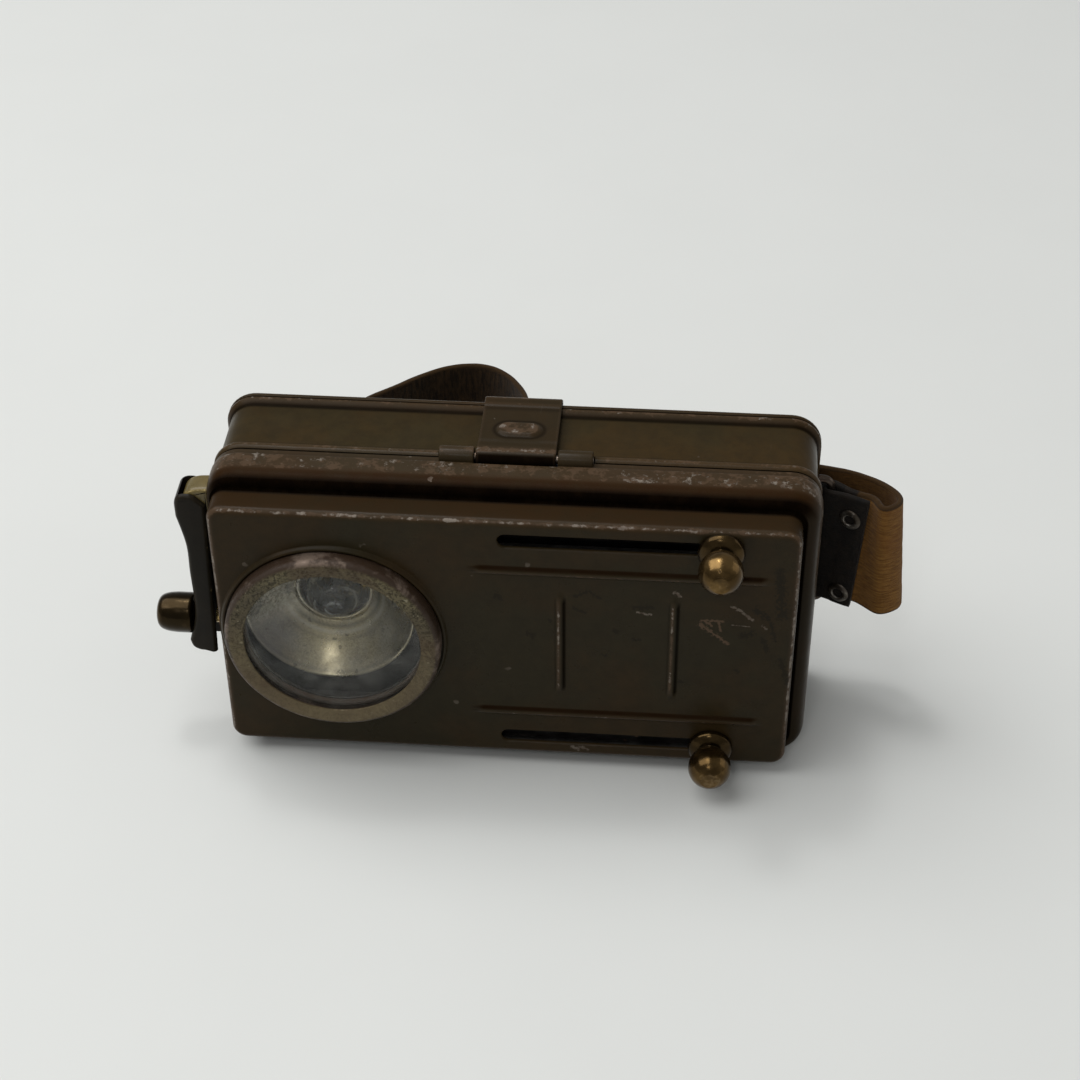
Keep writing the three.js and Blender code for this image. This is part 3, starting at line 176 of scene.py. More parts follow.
def turnedObject(name, profile, axis, centre, segments=96, attributes=None, angle=35):
    # radius and height of the profile carried round the axis: centre + radius (cos, sin) + height along it;
    # a profile that ends where it starts makes a ring
    profile = np.asarray(profile, float)
    ring = bool(np.linalg.norm(profile[0] - profile[-1]) < 1e-6 and profile[0, 0] > 0)
    turn = circle(segments)
    radius, height = profile[:, :1], profile[:, 1:2]
    axis = unit(np.asarray(axis, float))
    side = unit(np.cross(axis, [0, 0, 1] if abs(axis[2]) < 0.9 else [1, 0, 0]))
    other = np.cross(axis, side)
    grid = (np.asarray(centre, float) + height[..., None] * axis
            + (radius * np.cos(turn))[..., None] * side + (radius * np.sin(turn))[..., None] * other)
    rows = slice(-1 if ring else None)
    spread = {k: np.broadcast_to(np.reshape(v, (len(profile), -1)), grid.shape[:2])[rows]
              for k, v in (attributes or {}).items()}
    return gridObject(name, grid[rows], ring, spread, angle)


def slabObject(name, outline, half, edge, centre, steps=4):
    # an outline in x and z with thickness along y: the ring draws in as it nears either face
    outline = np.asarray(outline, float)
    ahead = np.roll(outline, -1, 0) - np.roll(outline, 1, 0)
    normal = np.stack([ahead[:, 1], -ahead[:, 0]], 1)
    normal /= np.maximum(np.linalg.norm(normal, axis=1, keepdims=True), 1e-9)
    area = np.sum(outline[:, 0] * np.roll(outline[:, 1], -1) - np.roll(outline[:, 0], -1) * outline[:, 1])
    normal *= np.sign(area)
    theta = np.linspace(0, quarter, steps + 1)
    drawn = np.concatenate([edge * (1 - np.sin(theta)), edge * (1 - np.sin(theta[::-1]))])
    level = np.concatenate([-half + edge * (1 - np.cos(theta)), half - edge * (1 - np.cos(theta[::-1]))])
    rings = outline - normal * drawn[:, None, None]
    grid = np.insert(rings, 1, level[:, None], axis=2) + centre
    worn = np.sin(2 * theta) ** 2 * 0.8
    wearAndSheen = np.repeat(np.concatenate([worn, worn[::-1]])[:, None], len(outline), 1)
    return gridObject(name, grid, attributes={"wearAndSheen": wearAndSheen})


def roundGrid(line, side, other, radius, segments):
    # a round section carried along the line: radius (cos side + sin other)
    turn = circle(segments)[None, :, None]
    return line[:, None] + radius * (np.cos(turn) * side[:, None] + np.sin(turn) * other[:, None])


def tubeObject(name, line, radius, segments, angle=35):
    # a round wire along a line that lies in one plane
    ahead = unit(np.gradient(line, axis=0))
    square = unit(np.cross(line[len(line) // 2] - line[0], line[-1] - line[0]))
    return gridObject(name, roundGrid(line, unit(np.cross(ahead, square)), square[None], radius, segments),
                      angle=angle)


def cutAway(piece, *cutters):
    for cutter in cutters:
        step = piece.modifiers.new("cut", "BOOLEAN")
        step.operation = "DIFFERENCE"
        step.solver = "EXACT"
        step.object = cutter
    graph = bpy.context.evaluated_depsgraph_get()
    mesh = bpy.data.meshes.new_from_object(piece.evaluated_get(graph))
    piece.modifiers.clear()
    piece.data = mesh
    for cutter in cutters:
        bpy.data.objects.remove(cutter)
    smoothShade(mesh, 30)
    return piece


class Channel:
    # one output of a shader node, which sums and products turn into further nodes of its tree
    def __init__(self, made, output=0):
        self.tree = made.id_data
        self.socket = made.outputs[output]

    def __add__(self, other):
        return calc("ADD", self, other)

    def __sub__(self, other):
        return calc("SUBTRACT", self, other)

    def __rsub__(self, other):
        return calc("SUBTRACT", other, self)

    def __mul__(self, other):
        return calc("MULTIPLY", self, other)

    def __truediv__(self, other):
        return calc("DIVIDE", self, other)


def put(socket, value):
    if isinstance(value, Channel):
        value.tree.links.new(value.socket, socket)
    elif socket.type == "RGBA":
        socket.default_value = (*value, 1)
    else:
        socket.default_value = value


def node(tree, kind, inputs=None, **settings):
    made = tree.nodes.new("ShaderNode" + kind)
    for key, value in settings.items():
        setattr(made, key, value)
    for key, value in (inputs or {}).items():
        put(made.inputs[key], value)
    return made


def treeOf(values):
    return next(value.tree for value in values if isinstance(value, Channel))


def calc(operation, *values):
    return Channel(node(treeOf(values), "Math", dict(enumerate(values)), operation=operation))


def vectors(operation, *values, output=0):
    made = node(treeOf(values), "VectorMath", dict(enumerate(values)), operation=operation)
    return Channel(made, output)


def larger(first, *others):
    for other in others:
        first = calc("MAXIMUM", first, other)
    return first


def mix(share, first, second):
    return Channel(node(share.tree, "Mix", {0: share, 6: first, 7: second}, data_type="RGBA"), 2)


def span(value, low, high, start=0.0, end=1.0):
    return Channel(node(value.tree, "MapRange", {
        "Value": value, "From Min": low, "From Max": high, "To Min": start, "To Max": end},
        interpolation_type="SMOOTHSTEP"))


def noise(place, scale, detail=4.0, rough=0.6, distortion=0.0):
    return Channel(node(place.tree, "TexNoise", {
        "Vector": place, "Scale": scale, "Detail": detail, "Roughness": rough,
        "Distortion": distortion}), "Fac")


def mapped(place, **inputs):
    return Channel(node(place.tree, "Mapping", {"Vector": place, **inputs}))


def nodeGroup(name, **inputs):
    # a group with a Vector and named values in, a point where no value is given, and a Mask out
    made = bpy.data.node_groups.new(name, "ShaderNodeTree")
    made.interface.new_socket(name="Vector", in_out="INPUT", socket_type="NodeSocketVector")
    for label, value in inputs.items():
        kind = "Vector" if value is None else "Float"
        socket = made.interface.new_socket(name=label, in_out="INPUT", socket_type="NodeSocket" + kind)
        if value is not None:
            socket.default_value = value
    made.interface.new_socket(name="Mask", in_out="OUTPUT", socket_type="NodeSocketFloat")
    entry = made.nodes.new("NodeGroupInput")
    given = {label: Channel(entry, label) for label in ("Vector", *inputs)}
    return made, given, made.nodes.new("NodeGroupOutput").inputs["Mask"]


def mask(group, place, **inputs):
    return Channel(node(place.tree, "Group", {"Vector": place, **inputs}, node_tree=group))


# worn edges and painted highlights: the wear value plus two noises, cut off at a level
edgeWear, given, result = nodeGroup("edgeWear", Wear=0.0, Scale=400.0, Cover=0.5)
fine = noise(given["Vector"], given["Scale"], 8, 0.7)
broad = noise(given["Vector"], given["Scale"] * 0.22, 3)
lifted = (broad - 0.5) * 1.4 + ((fine - 0.5) * 1.6 + given["Wear"])
level = 1.25 - given["Cover"]
put(result, span(lifted, level, level + 0.26))

# ragged chips and spots of uneven size, where a cell's own random value is low
spots, given, result = nodeGroup("spots", Scale=300.0, Share=0.1)
ragged = Channel(node(spots, "TexNoise", {
    "Vector": given["Vector"], "Scale": given["Scale"] * 1.8, "Detail": 4.0}), "Color")
bent = vectors("ADD", given["Vector"], vectors("MULTIPLY", ragged, (0.0012, 0.0012, 0.0012)))
cells = node(spots, "TexVoronoi", {"Vector": bent, "Scale": given["Scale"]})
lucky = node(spots, "SeparateColor", {"Color": Channel(cells, "Color")})
size = span(Channel(lucky, 1), 0.0, 1.0, 0.12, 0.42)
put(result, span(Channel(cells, "Distance") / size, 1.0, 0.7)
    * calc("LESS_THAN", Channel(lucky), given["Share"]))

# fine scratches: thin level lines of a stretched noise, kept only in patches
scratches, given, result = nodeGroup("scratches", Scale=60.0, Amount=0.5)
lines = []
for turnZ, turnY in ((0.4, 0.9), (2.1, -0.6)):
    drawn = mapped(given["Vector"], Rotation=(0.5, turnY, turnZ), Scale=(1.0, 0.12, 0.5))
    lines.append(span(calc("ABSOLUTE", noise(drawn, given["Scale"], 2, 0.5, 0.4) - 0.5), 0.0035, 0.0))
patches = span(noise(given["Vector"], given["Scale"] * 1.5, 2), 0.75 - given["Amount"] * 0.3, 0.8)
put(result, larger(*lines) * patches)

# one scratched line between two points
mark, given, result = nodeGroup("scratchedLine", Start=None, End=None, Width=0.0003)
reach = vectors("SUBTRACT", given["End"], given["Start"])
fromStart = vectors("SUBTRACT", given["Vector"], given["Start"])
along, whole = (vectors("DOT_PRODUCT", one, reach, output="Value") for one in (fromStart, reach))
held = Channel(node(mark, "Clamp", {"Value": along / whole}))
foot = Channel(node(mark, "VectorMath", {0: reach, "Scale": held}, operation="SCALE"))
wide = given["Width"] * span(noise(given["Vector"], 1800.0, 3), 0.3, 0.7, 0.1, 1.4)
put(result, span(vectors("DISTANCE", fromStart, foot, output="Value"), wide, wide * 0.4))


def newMaterial(name):
    made = bpy.data.materials.new(name)
    made.use_nodes = True
    tree = made.node_tree
    return made, tree.nodes["Principled BSDF"].inputs, Channel(node(tree, "TexCoord"), "Object")


def attribute(place, name):
    return Channel(node(place.tree, "Attribute", attribute_name=name), "Fac")


def bump(shader, height, distance, strength, below=None):
    inputs = {"Height": height, "Distance": distance, "Strength": strength}
    if below is not None:
        inputs["Normal"] = below
    made = Channel(node(height.tree, "Bump", inputs))
    put(shader["Normal"], made)
    return made


def casePoint(x, z=0):
    # a place on the front panel, in metres
    return tuple(np.add((x, 0, z), caseOffset) * mm)


def fromMiddle(place, x, z=0):
    # the way from a point of the case, and the distance to it seen from the front
    apart = vectors("SUBTRACT", place, casePoint(x, z))
    return apart, vectors("LENGTH", vectors("MULTIPLY", apart, (1, 0, 1)), output="Value")


def paint(name, look):
    # enamel in two tones, worn to primer and rust at the edges, with chips and scratches; the wear values
    # also paint highlights, the ruddy values paint red-brown shade, and the dirt values paint near-black
    # shade as well as dirt, with less gloss
    made, shader, place = newMaterial(name)
    wearAndSheen, dirtAndShade, ruddy = (attribute(place, label) for label in ("wearAndSheen", "dirtAndShade", "ruddy"))
    colour = mix(span(noise(place, 38.0, 5, 0.62), 0.38, 0.64), look["cool"], look["warm"])
    mottled = span(noise(place, 260.0, 6, 0.7), 0.3, 0.75)
    colour = mix(mottled * 0.45, colour, look["deep"])
    # painted shade: red-brown where the ruddy values are, near black and less glossy where the dirt values
    # are, which also carry dirt
    colour = mix(ruddy * span(mottled, 0.0, 1.0, 0.95, 0.6), colour, look["ruddy"])
    colour = mix(dirtAndShade * span(mottled, 0.0, 1.0, 1.0, 0.86), colour, look["dirtAndShade"])
    rubbed = mask(edgeWear, place, Wear=wearAndSheen, Scale=760.0, Cover=look["rubbed"])
    bare = mask(edgeWear, place, Wear=wearAndSheen, Scale=900.0, Cover=look["bare"])
    colour = mix(larger(rubbed * 0.55, wearAndSheen * 0.26), colour, look["rust"])
    chips = mask(spots, place, Scale=480.0, Share=look["chips"])
    thin = mask(scratches, place, Scale=46.0, Amount=look["scratches"])
    gone = larger(bare, chips * 0.32, thin * 0.35)
    drawn = {kind: larger(*(mask(mark, place, Width=width * mm, **{
        "Start": casePoint(*start), "End": casePoint(*end)}) for start, end, width in lines))
        for kind, lines in look["marks"].items()}
    if drawn:
        colour = mix(drawn["dark"] * 0.9, colour, look["deep"])
        colour = mix(drawn["rust"] * 0.75, colour, look["rust"])
        gone = larger(gone, drawn["pale"] * 0.6)
    tint = mix(span(noise(place, 900.0), 0.35, 0.65), look["primer"], look["metal"])
    put(shader["Base Color"], mix(gone, colour, tint))
    sheen = span(noise(place, 120.0, 5, 0.7), 0.3, 0.7, 0.26, 0.38)
    put(shader["Roughness"], larger(gone, dirtAndShade) * 0.15 + sheen)
    put(shader["Metallic"], gone * 0.45)
    put(shader["Specular IOR Level"], larger(dirtAndShade, ruddy * 0.85) * -look["gloss"] + look["gloss"])
    skin = bump(shader, noise(place, 1300.0, 3), 0.00004, 0.5)
    bump(shader, gone * -0.9 + noise(place, 150.0, 4, 0.55), 0.00012, 0.6, skin)
    return made


def metal(name, look):
    # tarnish in broad clouds, small dark specks and rubbed bright edges; the dirt values paint a near-black
    # shade
    made, shader, place = newMaterial(name)
    clouds = span(noise(place, 170.0, 6, 0.65), 0.35, 0.62)
    colour = mix(clouds, look["bright"], look["tarnish"])
    specks = mask(spots, place, Scale=900.0, Share=look["specks"])
    colour = mix(specks * 0.7, colour, look["speck"])
    rub = mask(edgeWear, place, Wear=attribute(place, "wearAndSheen"), Scale=500.0, Cover=0.6)
    colour = mix(rub * 0.6, colour, look["rubbed"])
    soiledAndShaded = attribute(place, "dirtAndShade") * span(clouds, 0.0, 1.0, 1.0, 0.85)
    put(shader["Base Color"], mix(soiledAndShaded, colour, (0.012, 0.008, 0.003)))
    put(shader["Roughness"], specks * 0.2 + span(noise(place, 391.0, 5), 0.3, 0.7, *look["rough"]))
    put(shader["Metallic"], 0.9)
    thin = mask(scratches, place, Scale=90.0, Amount=0.8)
    bump(shader, specks * -0.6 + (thin * -0.7 + noise(place, 900.0)), 0.00005, 0.6)
    return made


def pane(name, look):
    # clear or dyed glass as a thin film that lets light through, with haze and a stronger rim
    made, shader, place = newMaterial(name)
    haze = span(noise(place, 180.0, 6, 0.7), 0.35, 0.75)
    put(shader["Base Color"], mix(haze, look["colour"], look["dusty"]))
    facing = Channel(node(place.tree, "LayerWeight", {"Blend": 0.35}), "Facing")
    put(shader["Alpha"], span(facing, 0.3, 1.0) * look["rim"] + (haze * look["haze"] + look["alpha"]))
    put(shader["Roughness"], span(haze, 0.0, 1.0, *look["rough"]))
    put(shader["Specular IOR Level"], 0.9)
    bump(shader, noise(place, 120.0, 3), 0.00003, 0.4)
    return made


def plain(name, look):
    # board, card, pitch and rubber: two tones, fibres or grain, and a soft bump
    made, shader, place = newMaterial(name)
    grain = noise(mapped(place, Scale=look["stretch"]), look["grain"], 6, 0.7)
    colour = mix(span(grain, 0.35, 0.65), look["first"], look["second"])
    put(shader["Base Color"], mix(span(noise(place, 70.0), 0.45, 0.7) * 0.5, colour, look["stain"]))
    put(shader["Roughness"], span(grain, 0.3, 0.7, *look["rough"]))
    bump(shader, grain, 0.00008, 0.7)
    return made


def bulbGlass(name, look):
    # smoked glass with curved streaks of reflected light round its axis
    made, shader, place = newMaterial(name)
    away = fromMiddle(place, lamp["x"] + 0.7, -0.5)[1]
    swirl = noise(place, 150.0, 2) * 7.0 + away * 2700.0
    streaks = span(calc("SINE", swirl), 0.35, 0.95) * span(noise(place, 260.0, 3), 0.35, 0.6)
    put(shader["Base Color"], mix(streaks, look["smoke"], look["streak"]))
    facing = Channel(node(place.tree, "LayerWeight", {"Blend": 0.3}), "Facing")
    put(shader["Alpha"], streaks * 0.35 + (span(facing, 0.35, 1.0) * 0.4 + 0.36))
    put(shader["Roughness"], 0.06)
    put(shader["Specular IOR Level"], 1.0)
    bump(shader, noise(place, 300.0, 3), 0.00003, 0.4)
    return made


def bezelMetal(name, look):
    # lip in speckled olive nickel, side with what is left of the brown paint
    made, shader, place = newMaterial(name)
    lip = attribute(place, "lip")
    low = span(Channel(node(place.tree, "SeparateXYZ", {"Vector": place}), "Z"), 0.046, 0.016)
    tan = mix(span(noise(place, 95.0, 5, 0.7), 0.35, 0.65), look["nickel"], look["olive"])
    fine = span(noise(place, 1500.0, 4, 0.8), 0.44, 0.60)
    strength = span(low, 0.0, 1.0, 0.85, 0.4)
    tan = mix(fine * strength, tan, look["pit"])
    tan = mix(mask(spots, place, Scale=850.0, Share=0.2) * strength, tan, look["grain"])
    tan = mix(low * 0.5, tan, look["low"])
    tan = mix(span(noise(place, 55.0, 3), 0.5, 0.66) * 0.45, tan, look["brown"])
    patches = span(noise(place, 110.0, 6, 0.7), 0.49, 0.63)
    put(shader["Base Color"], mix(lip, mix(patches, look["paint"], look["worn"]), tan))
    put(shader["Roughness"], fine * 0.2 + 0.36)
    put(shader["Metallic"], larger(lip, patches) * 0.4)
    put(shader["Specular IOR Level"], 0.25)
    bump(shader, fine * -0.6 + noise(place, 700.0), 0.00007, 0.7)
    return made


def silvering(name, look):
    # old silvering: fine grey specks, light and dark rings round the axis, a pale fogged side painted paler
    # to stand in for the light falling there, and a painted blue shade on the lower left side
    made, shader, place = newMaterial(name)
    colour = mix(span(noise(place, 75.0, 5), 0.36, 0.64), look["yellow"], look["grey"])
    thick = span(noise(place, 160.0), 0.35, 0.65, 0.15, 0.75)
    colour = mix(span(noise(place, 2300.0, 5, 0.8), 0.40, 0.66) * thick, colour, look["speck"])
    apart, away = fromMiddle(place, lamp["x"])
    for radius, width, share, tone in look["rings"]:
        colour = mix(span(calc("ABSOLUTE", away - radius), width, 0.0, 0.0, share), colour, tone)
    apart = node(place.tree, "SeparateXYZ", {"Vector": apart})
    across, upward = Channel(apart, "X"), Channel(apart, "Z")
    # painted blue shade on the lower left side
    blueShade = span(across, -0.004, -0.012) * span(upward, 0.001, -0.006, 0.0, 0.6)
    colour = mix(blueShade, colour, look["blueShade"])
    # fogged silvering on the upper left, painted paler to stand in for the light falling there
    fogAndLight = span(across, 0.006, -0.005) * span(upward, -0.007, 0.001)
    fogAndLight = fogAndLight * span(noise(place, 190.0), 0.3, 0.6, 0.45, 1.0)
    colour = mix(fogAndLight, colour, mix(span(noise(place, 1500.0, 5, 0.8), 0.36, 0.62), look["fogAndLight"], look["pale"]))
    colour = mix(mask(spots, place, Scale=800.0, Share=0.12) * 0.6, colour, look["pit"])
    put(shader["Base Color"], colour)
    put(shader["Roughness"], thick * 0.24 + 0.22)
    put(shader["Metallic"], fogAndLight * -0.2 + span(thick, 0.0, 1.0, 0.95, 0.7))
    bump(shader, noise(place, 130.0, 3), 0.00003, 0.35)
    return made


def leather(name, look):
    # rough tan outside with fine lengthwise lines, brown inside, blackened ends
    made, shader, place = newMaterial(name)
    flat = Channel(node(place.tree, "UVMap", uv_map="lengthways"))
    lines = noise(mapped(flat, Scale=(420, 2600, 1)), 1.0, 6, 0.8)
    cross = noise(mapped(flat, Scale=(1300, 240, 1)), 1.0, 4, 0.7)
    tan = mix(span(lines, 0.34, 0.66), look["deep"], look["tan"])
    tan = mix(span(noise(place, 110.0, 5), 0.4, 0.7, 0.0, 0.5), tan, look["stain"])
    brown = mix(span(cross, 0.35, 0.65), look["inner"], look["innerPale"])
    colour = mix(attribute(place, "outer"), brown, tan)
    colour = mix(attribute(place, "edge") * 0.85, colour, look["edge"])
    dark = span(noise(place, 600.0) * 0.5 + attribute(place, "dark"), 0.6, 0.85)
    black = mix(span(noise(place, 420.0, 6, 0.7), 0.35, 0.7), look["black"], look["blackPale"])
    put(shader["Base Color"], mix(dark, colour, black))
    put(shader["Roughness"], dark * -0.3 + 0.88)
    put(shader["Sheen Weight"], 0.06)
    put(shader["Sheen Roughness"], 0.5)
    put(shader["Specular IOR Level"], 0.1)
    bump(shader, lines + cross * 0.6, 0.00022, 0.8)
    return made


enamel = {
    "cool": (0.0235, 0.0182, 0.0082), "warm": (0.0305, 0.0185, 0.0070), "deep": (0.014, 0.0100, 0.0045),
    "ruddy": (0.022, 0.0095, 0.0032), "rust": (0.100, 0.062, 0.038), "primer": (0.12, 0.09, 0.07),
    "metal": (0.20, 0.17, 0.14), "dirtAndShade": (0.0016, 0.0009, 0.0005), "gloss": 0.09, "rubbed": 0.6,
    "bare": 0.36, "chips": 0.008, "scratches": 0.4, "marks": {}}
# start, end and width of each scratch and stain of the panel, in mm from the case's middle
panelMarks = {
    "pale": [((42.4, 11.7), (44.2, 10.8), 0.5), ((44.5, 10.2), (46.3, 8.8), 0.5),
             ((42.7, 7.1), (45.9, 7.0), 0.25), ((24.4, 9.3), (27.2, 8.7), 0.4),
             ((48.4, 7.2), (48.9, 6.7), 0.5), ((12.3, -27.7), (13.6, -28.2), 0.6),
             ((13.8, -27.6), (15.2, -28.1), 0.5), ((31.5, 14.6), (32.6, 13.7), 0.5)],
    "rust": [((36.4, 7.0), (39.5, 4.5), 0.7), ((39.5, 4.5), (41.9, 2.3), 0.55),
             ((36.9, 8.0), (40.9, 8.0), 0.4), ((38.9, 6.6), (37.4, 7.9), 0.5),
             ((40.0, 7.9), (40.6, 5.6), 0.4)],
    "dark": [((50.9, 21.0), (52.0, 10.0), 1.5), ((52.4, -1.4), (54.4, -8.0), 1.0),
             ((23.9, 10.4), (26.9, 10.6), 1.0), ((20.2, 4.3), (20.6, 4.0), 0.8),
             ((24.0, 2.2), (25.0, 2.0), 0.7), ((3.6, 2.6), (4.2, 2.0), 1.2),
             ((-2.6, 11.9), (-2.0, 11.2), 1.3), ((47.0, 11.4), (49.4, 9.0), 1.2),
             ((44.6, 4.6), (46.4, 5.2), 1.3), ((12.6, 12.6), (14.6, 13.8), 0.7),
             ((15.4, 13.8), (17.2, 12.4), 0.6), ((12.4, 9.6), (14.4, 8.5), 0.6),
             ((7.5, 6.5), (7.9, 5.8), 0.6), ((18.0, -2.0), (18.5, -2.3), 0.6),
             ((33.0, -8.0), (33.6, -8.4), 0.7), ((44.0, -4.5), (44.4, -5.0), 0.6),
             ((48.6, 4.0), (49.6, 1.0), 0.9), ((50.0, 8.0), (51.0, 3.5), 0.8)]}
brass = {"bright": (0.32, 0.215, 0.085), "tarnish": (0.15, 0.095, 0.04), "speck": (0.04, 0.025, 0.012),
         "rubbed": (0.46, 0.35, 0.19), "specks": 0.05, "rough": (0.19, 0.32)}
steel = {"bright": (0.42, 0.41, 0.39), "tarnish": (0.26, 0.24, 0.22), "speck": (0.12, 0.08, 0.05),
         "rubbed": (0.6, 0.59, 0.57), "specks": 0.05, "rough": (0.3, 0.46)}
dyed = {"alpha": 0.72, "haze": 0.1, "rim": 0.15, "rough": (0.12, 0.3)}
board = {"stretch": (1, 1, 0.3), "grain": 500.0, "first": (0.21, 0.095, 0.045),
         "second": (0.30, 0.15, 0.075), "stain": (0.12, 0.05, 0.025), "rough": (0.6, 0.85)}
lamp = {"x": -36.4, "mouth": 16.5, "mouthY": 5.7, "depth": 7.8, "neck": 7.1, "rim": 18.6, "wall": 0.5,
        "flange": 8.1, "globe": 5.6, "globeFront": 7.6, "neckRadius": 3.6, "capStart": 18.6, "cap": 4.6}

# each material by its slot, with the function that makes it
lookOf = {
    "case_paint": (paint, {**enamel, "marks": panelMarks}),
    # lighter and warmer than the case's paint on the same steel: painted light for the back's top band, which
    # faces the lamps
    "back_paint": (paint, {**enamel, "cool": (0.0315, 0.0220, 0.0080), "warm": (0.0375, 0.0220, 0.0068)}),
    "lever_paint": (paint, {
        **enamel, "cool": (0.0125, 0.0105, 0.0078), "warm": (0.017, 0.0132, 0.0085),
        "deep": (0.008, 0.0065, 0.005), "rust": (0.034, 0.027, 0.015), "primer": (0.13, 0.105, 0.06),
        "metal": (0.26, 0.20, 0.09), "bare": 0.3, "chips": 0.01}),
    "switch_brass": (paint, {
        **enamel, "cool": (0.11, 0.085, 0.028), "warm": (0.15, 0.11, 0.036), "deep": (0.05, 0.038, 0.014),
        "rust": (0.24, 0.17, 0.05), "primer": (0.46, 0.34, 0.11), "metal": (0.62, 0.49, 0.20), "bare": 0.66,
        "rubbed": 0.9, "gloss": 0.4, "chips": 0.1}),
    "knob_brass": (metal, {
        **brass, "bright": (0.150, 0.091, 0.032), "tarnish": (0.055, 0.032, 0.010),
        "rubbed": (0.24, 0.165, 0.085), "rough": (0.13, 0.25)}),
    "contact_brass": (metal, {**brass, "bright": (0.60, 0.45, 0.2), "tarnish": (0.40, 0.28, 0.11)}),
    "inner_steel": (metal, {**steel, "bright": (0.20, 0.19, 0.18), "tarnish": (0.11, 0.10, 0.09)}),
    # near-black blackened steel, darkened further to paint the shade in the slots it shows through
    "slide_steel": (metal, {**steel, "bright": (0.030, 0.028, 0.026), "tarnish": (0.015, 0.013, 0.012)}),
    "fastener_steel": (metal, {
        **steel, "bright": (0.3, 0.27, 0.24), "tarnish": (0.15, 0.11, 0.08), "specks": 0.15}),
    "wire_steel": (metal, {
        **steel, "bright": (0.12, 0.10, 0.08), "tarnish": (0.06, 0.04, 0.03), "specks": 0.2}),
    "eyelet_steel": (metal, {
        **steel, "bright": (0.12, 0.105, 0.09), "tarnish": (0.05, 0.04, 0.03), "rubbed": (0.3, 0.28, 0.25),
        "specks": 0.12}),
    "red_filter": (pane, {**dyed, "colour": (0.55, 0.02, 0.015), "dusty": (0.6, 0.08, 0.06)}),
    "green_filter": (pane, {**dyed, "colour": (0.02, 0.30, 0.11), "dusty": (0.1, 0.36, 0.2)}),
    "lens_glass": (pane, {
        "colour": (0.08, 0.085, 0.08), "dusty": (0.22, 0.215, 0.19), "alpha": 0.10, "haze": 0.12,
        "rim": 0.2, "rough": (0.03, 0.2)}),
    "bulb_glass": (bulbGlass, {"smoke": (0.030, 0.034, 0.036), "streak": (0.36, 0.36, 0.33)}),
    "fibre_board": (plain, board),
    "gasket": (plain, {**board, "first": (0.10, 0.08, 0.06), "second": (0.15, 0.12, 0.09)}),
    "battery_card": (plain, {
        **board, "stretch": (0.4, 1, 1), "grain": 320.0, "first": (0.10, 0.15, 0.24),
        "second": (0.14, 0.20, 0.30), "stain": (0.22, 0.21, 0.18)}),
    "battery_pitch": (plain, {
        **board, "stretch": (1, 1, 1), "grain": 150.0, "first": (0.020, 0.018, 0.017),
        "second": (0.035, 0.03, 0.027), "stain": (0.07, 0.055, 0.045), "rough": (0.25, 0.6)}),
    "bezel_metal": (bezelMetal, {
        "nickel": (0.135, 0.112, 0.060), "olive": (0.075, 0.060, 0.036), "pit": (0.022, 0.018, 0.009),
        "grain": (0.26, 0.23, 0.15), "low": (0.150, 0.110, 0.062), "brown": (0.06, 0.034, 0.018),
        "paint": (0.036, 0.021, 0.012), "worn": (0.175, 0.130, 0.100)}),
    "reflector_silver": (silvering, {
        "yellow": (0.66, 0.575, 0.36), "grey": (0.45, 0.41, 0.30), "speck": (0.20, 0.172, 0.105),
        "blueShade": (0.15, 0.14, 0.165), "fogAndLight": (0.34, 0.31, 0.23), "pale": (0.98, 0.93, 0.76),
        "pit": (0.07, 0.06, 0.035),
        # radius, width, share and tone of each ring round the axis
        "rings": ((0.0091, 0.0007, 0.55, (0.12, 0.11, 0.08)), (0.0101, 0.0006, 0.5, (0.75, 0.71, 0.58)),
                  (0.0113, 0.0005, 0.3, (0.16, 0.15, 0.12)), (0.0160, 0.0005, 0.35, (0.14, 0.13, 0.11)))}),
    "strap_leather": (leather, {
        "deep": (0.088, 0.037, 0.0070), "tan": (0.22, 0.105, 0.024), "stain": (0.14, 0.055, 0.012),
        "inner": (0.013, 0.0075, 0.0035), "innerPale": (0.045, 0.025, 0.010),
        "edge": (0.022, 0.013, 0.0055), "black": (0.004, 0.003, 0.0022),
        "blackPale": (0.012, 0.008, 0.005)}),
}
looks = {slotName: make(slotName, look) for slotName, (make, look) in lookOf.items()}
for part in frame["record"]["subparts"]:
    cadNode = frame["nodes"][part["node"]]
    cadNode.data.materials.clear()
    cadNode.data.materials.append(looks[part["material_slot"]])
print("materials made:", len(looks))


def dress(piece, body, slotName, *nodes):
    piece.data.materials.clear()
    piece.data.materials.append(looks[slotName])
    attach(piece, body)
    if nodes:
        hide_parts(*nodes)


# the case: a raised panel, a rounded shoulder and a back that closes on the seam; panel and shoulder are
# half length, half height and corner, the slots left end, right end, height and half width, and the
# window its place and the radius of its hole
case = {
    "panel": (56.0, 30.0, 3.0), "shoulder": (58.7, 33.25, 6.2), "panelMiddle": -1.2, "sheet": 0.6,
    "panelEdge": 1.4, "rise": 6.3, "shoulderEdge": 2.2, "shoulderDepth": 6.2, "shoulderPower": 2.7,
    "groove": 0.7, "seam": 15.4, "seamGap": 0.15, "lipStart": 12.0, "depth": 33.9, "rimEdge": 1.5,
    "band": 0.9, "bandMiddle": 24.0, "bead": 0.1, "beadWidth": 2.0, "rimStart": 30.2, "rimRise": 0.9,
    "ridges": [((-6.05, 18.2), (47.65, 18.2)), ((-6.05, -18.2), (47.65, -18.2)),
               ((9.7, 11.35), (9.7, -11.35)), ((31.5, 11.35), (31.5, -11.35))],
    "ridgeWidth": 0.9, "ridgeRise": 0.62, "buckle": 0.05, "slots": (-2.1, 41.3, 25.3, 1.5),
    "window": (-34.4, 19.4)}


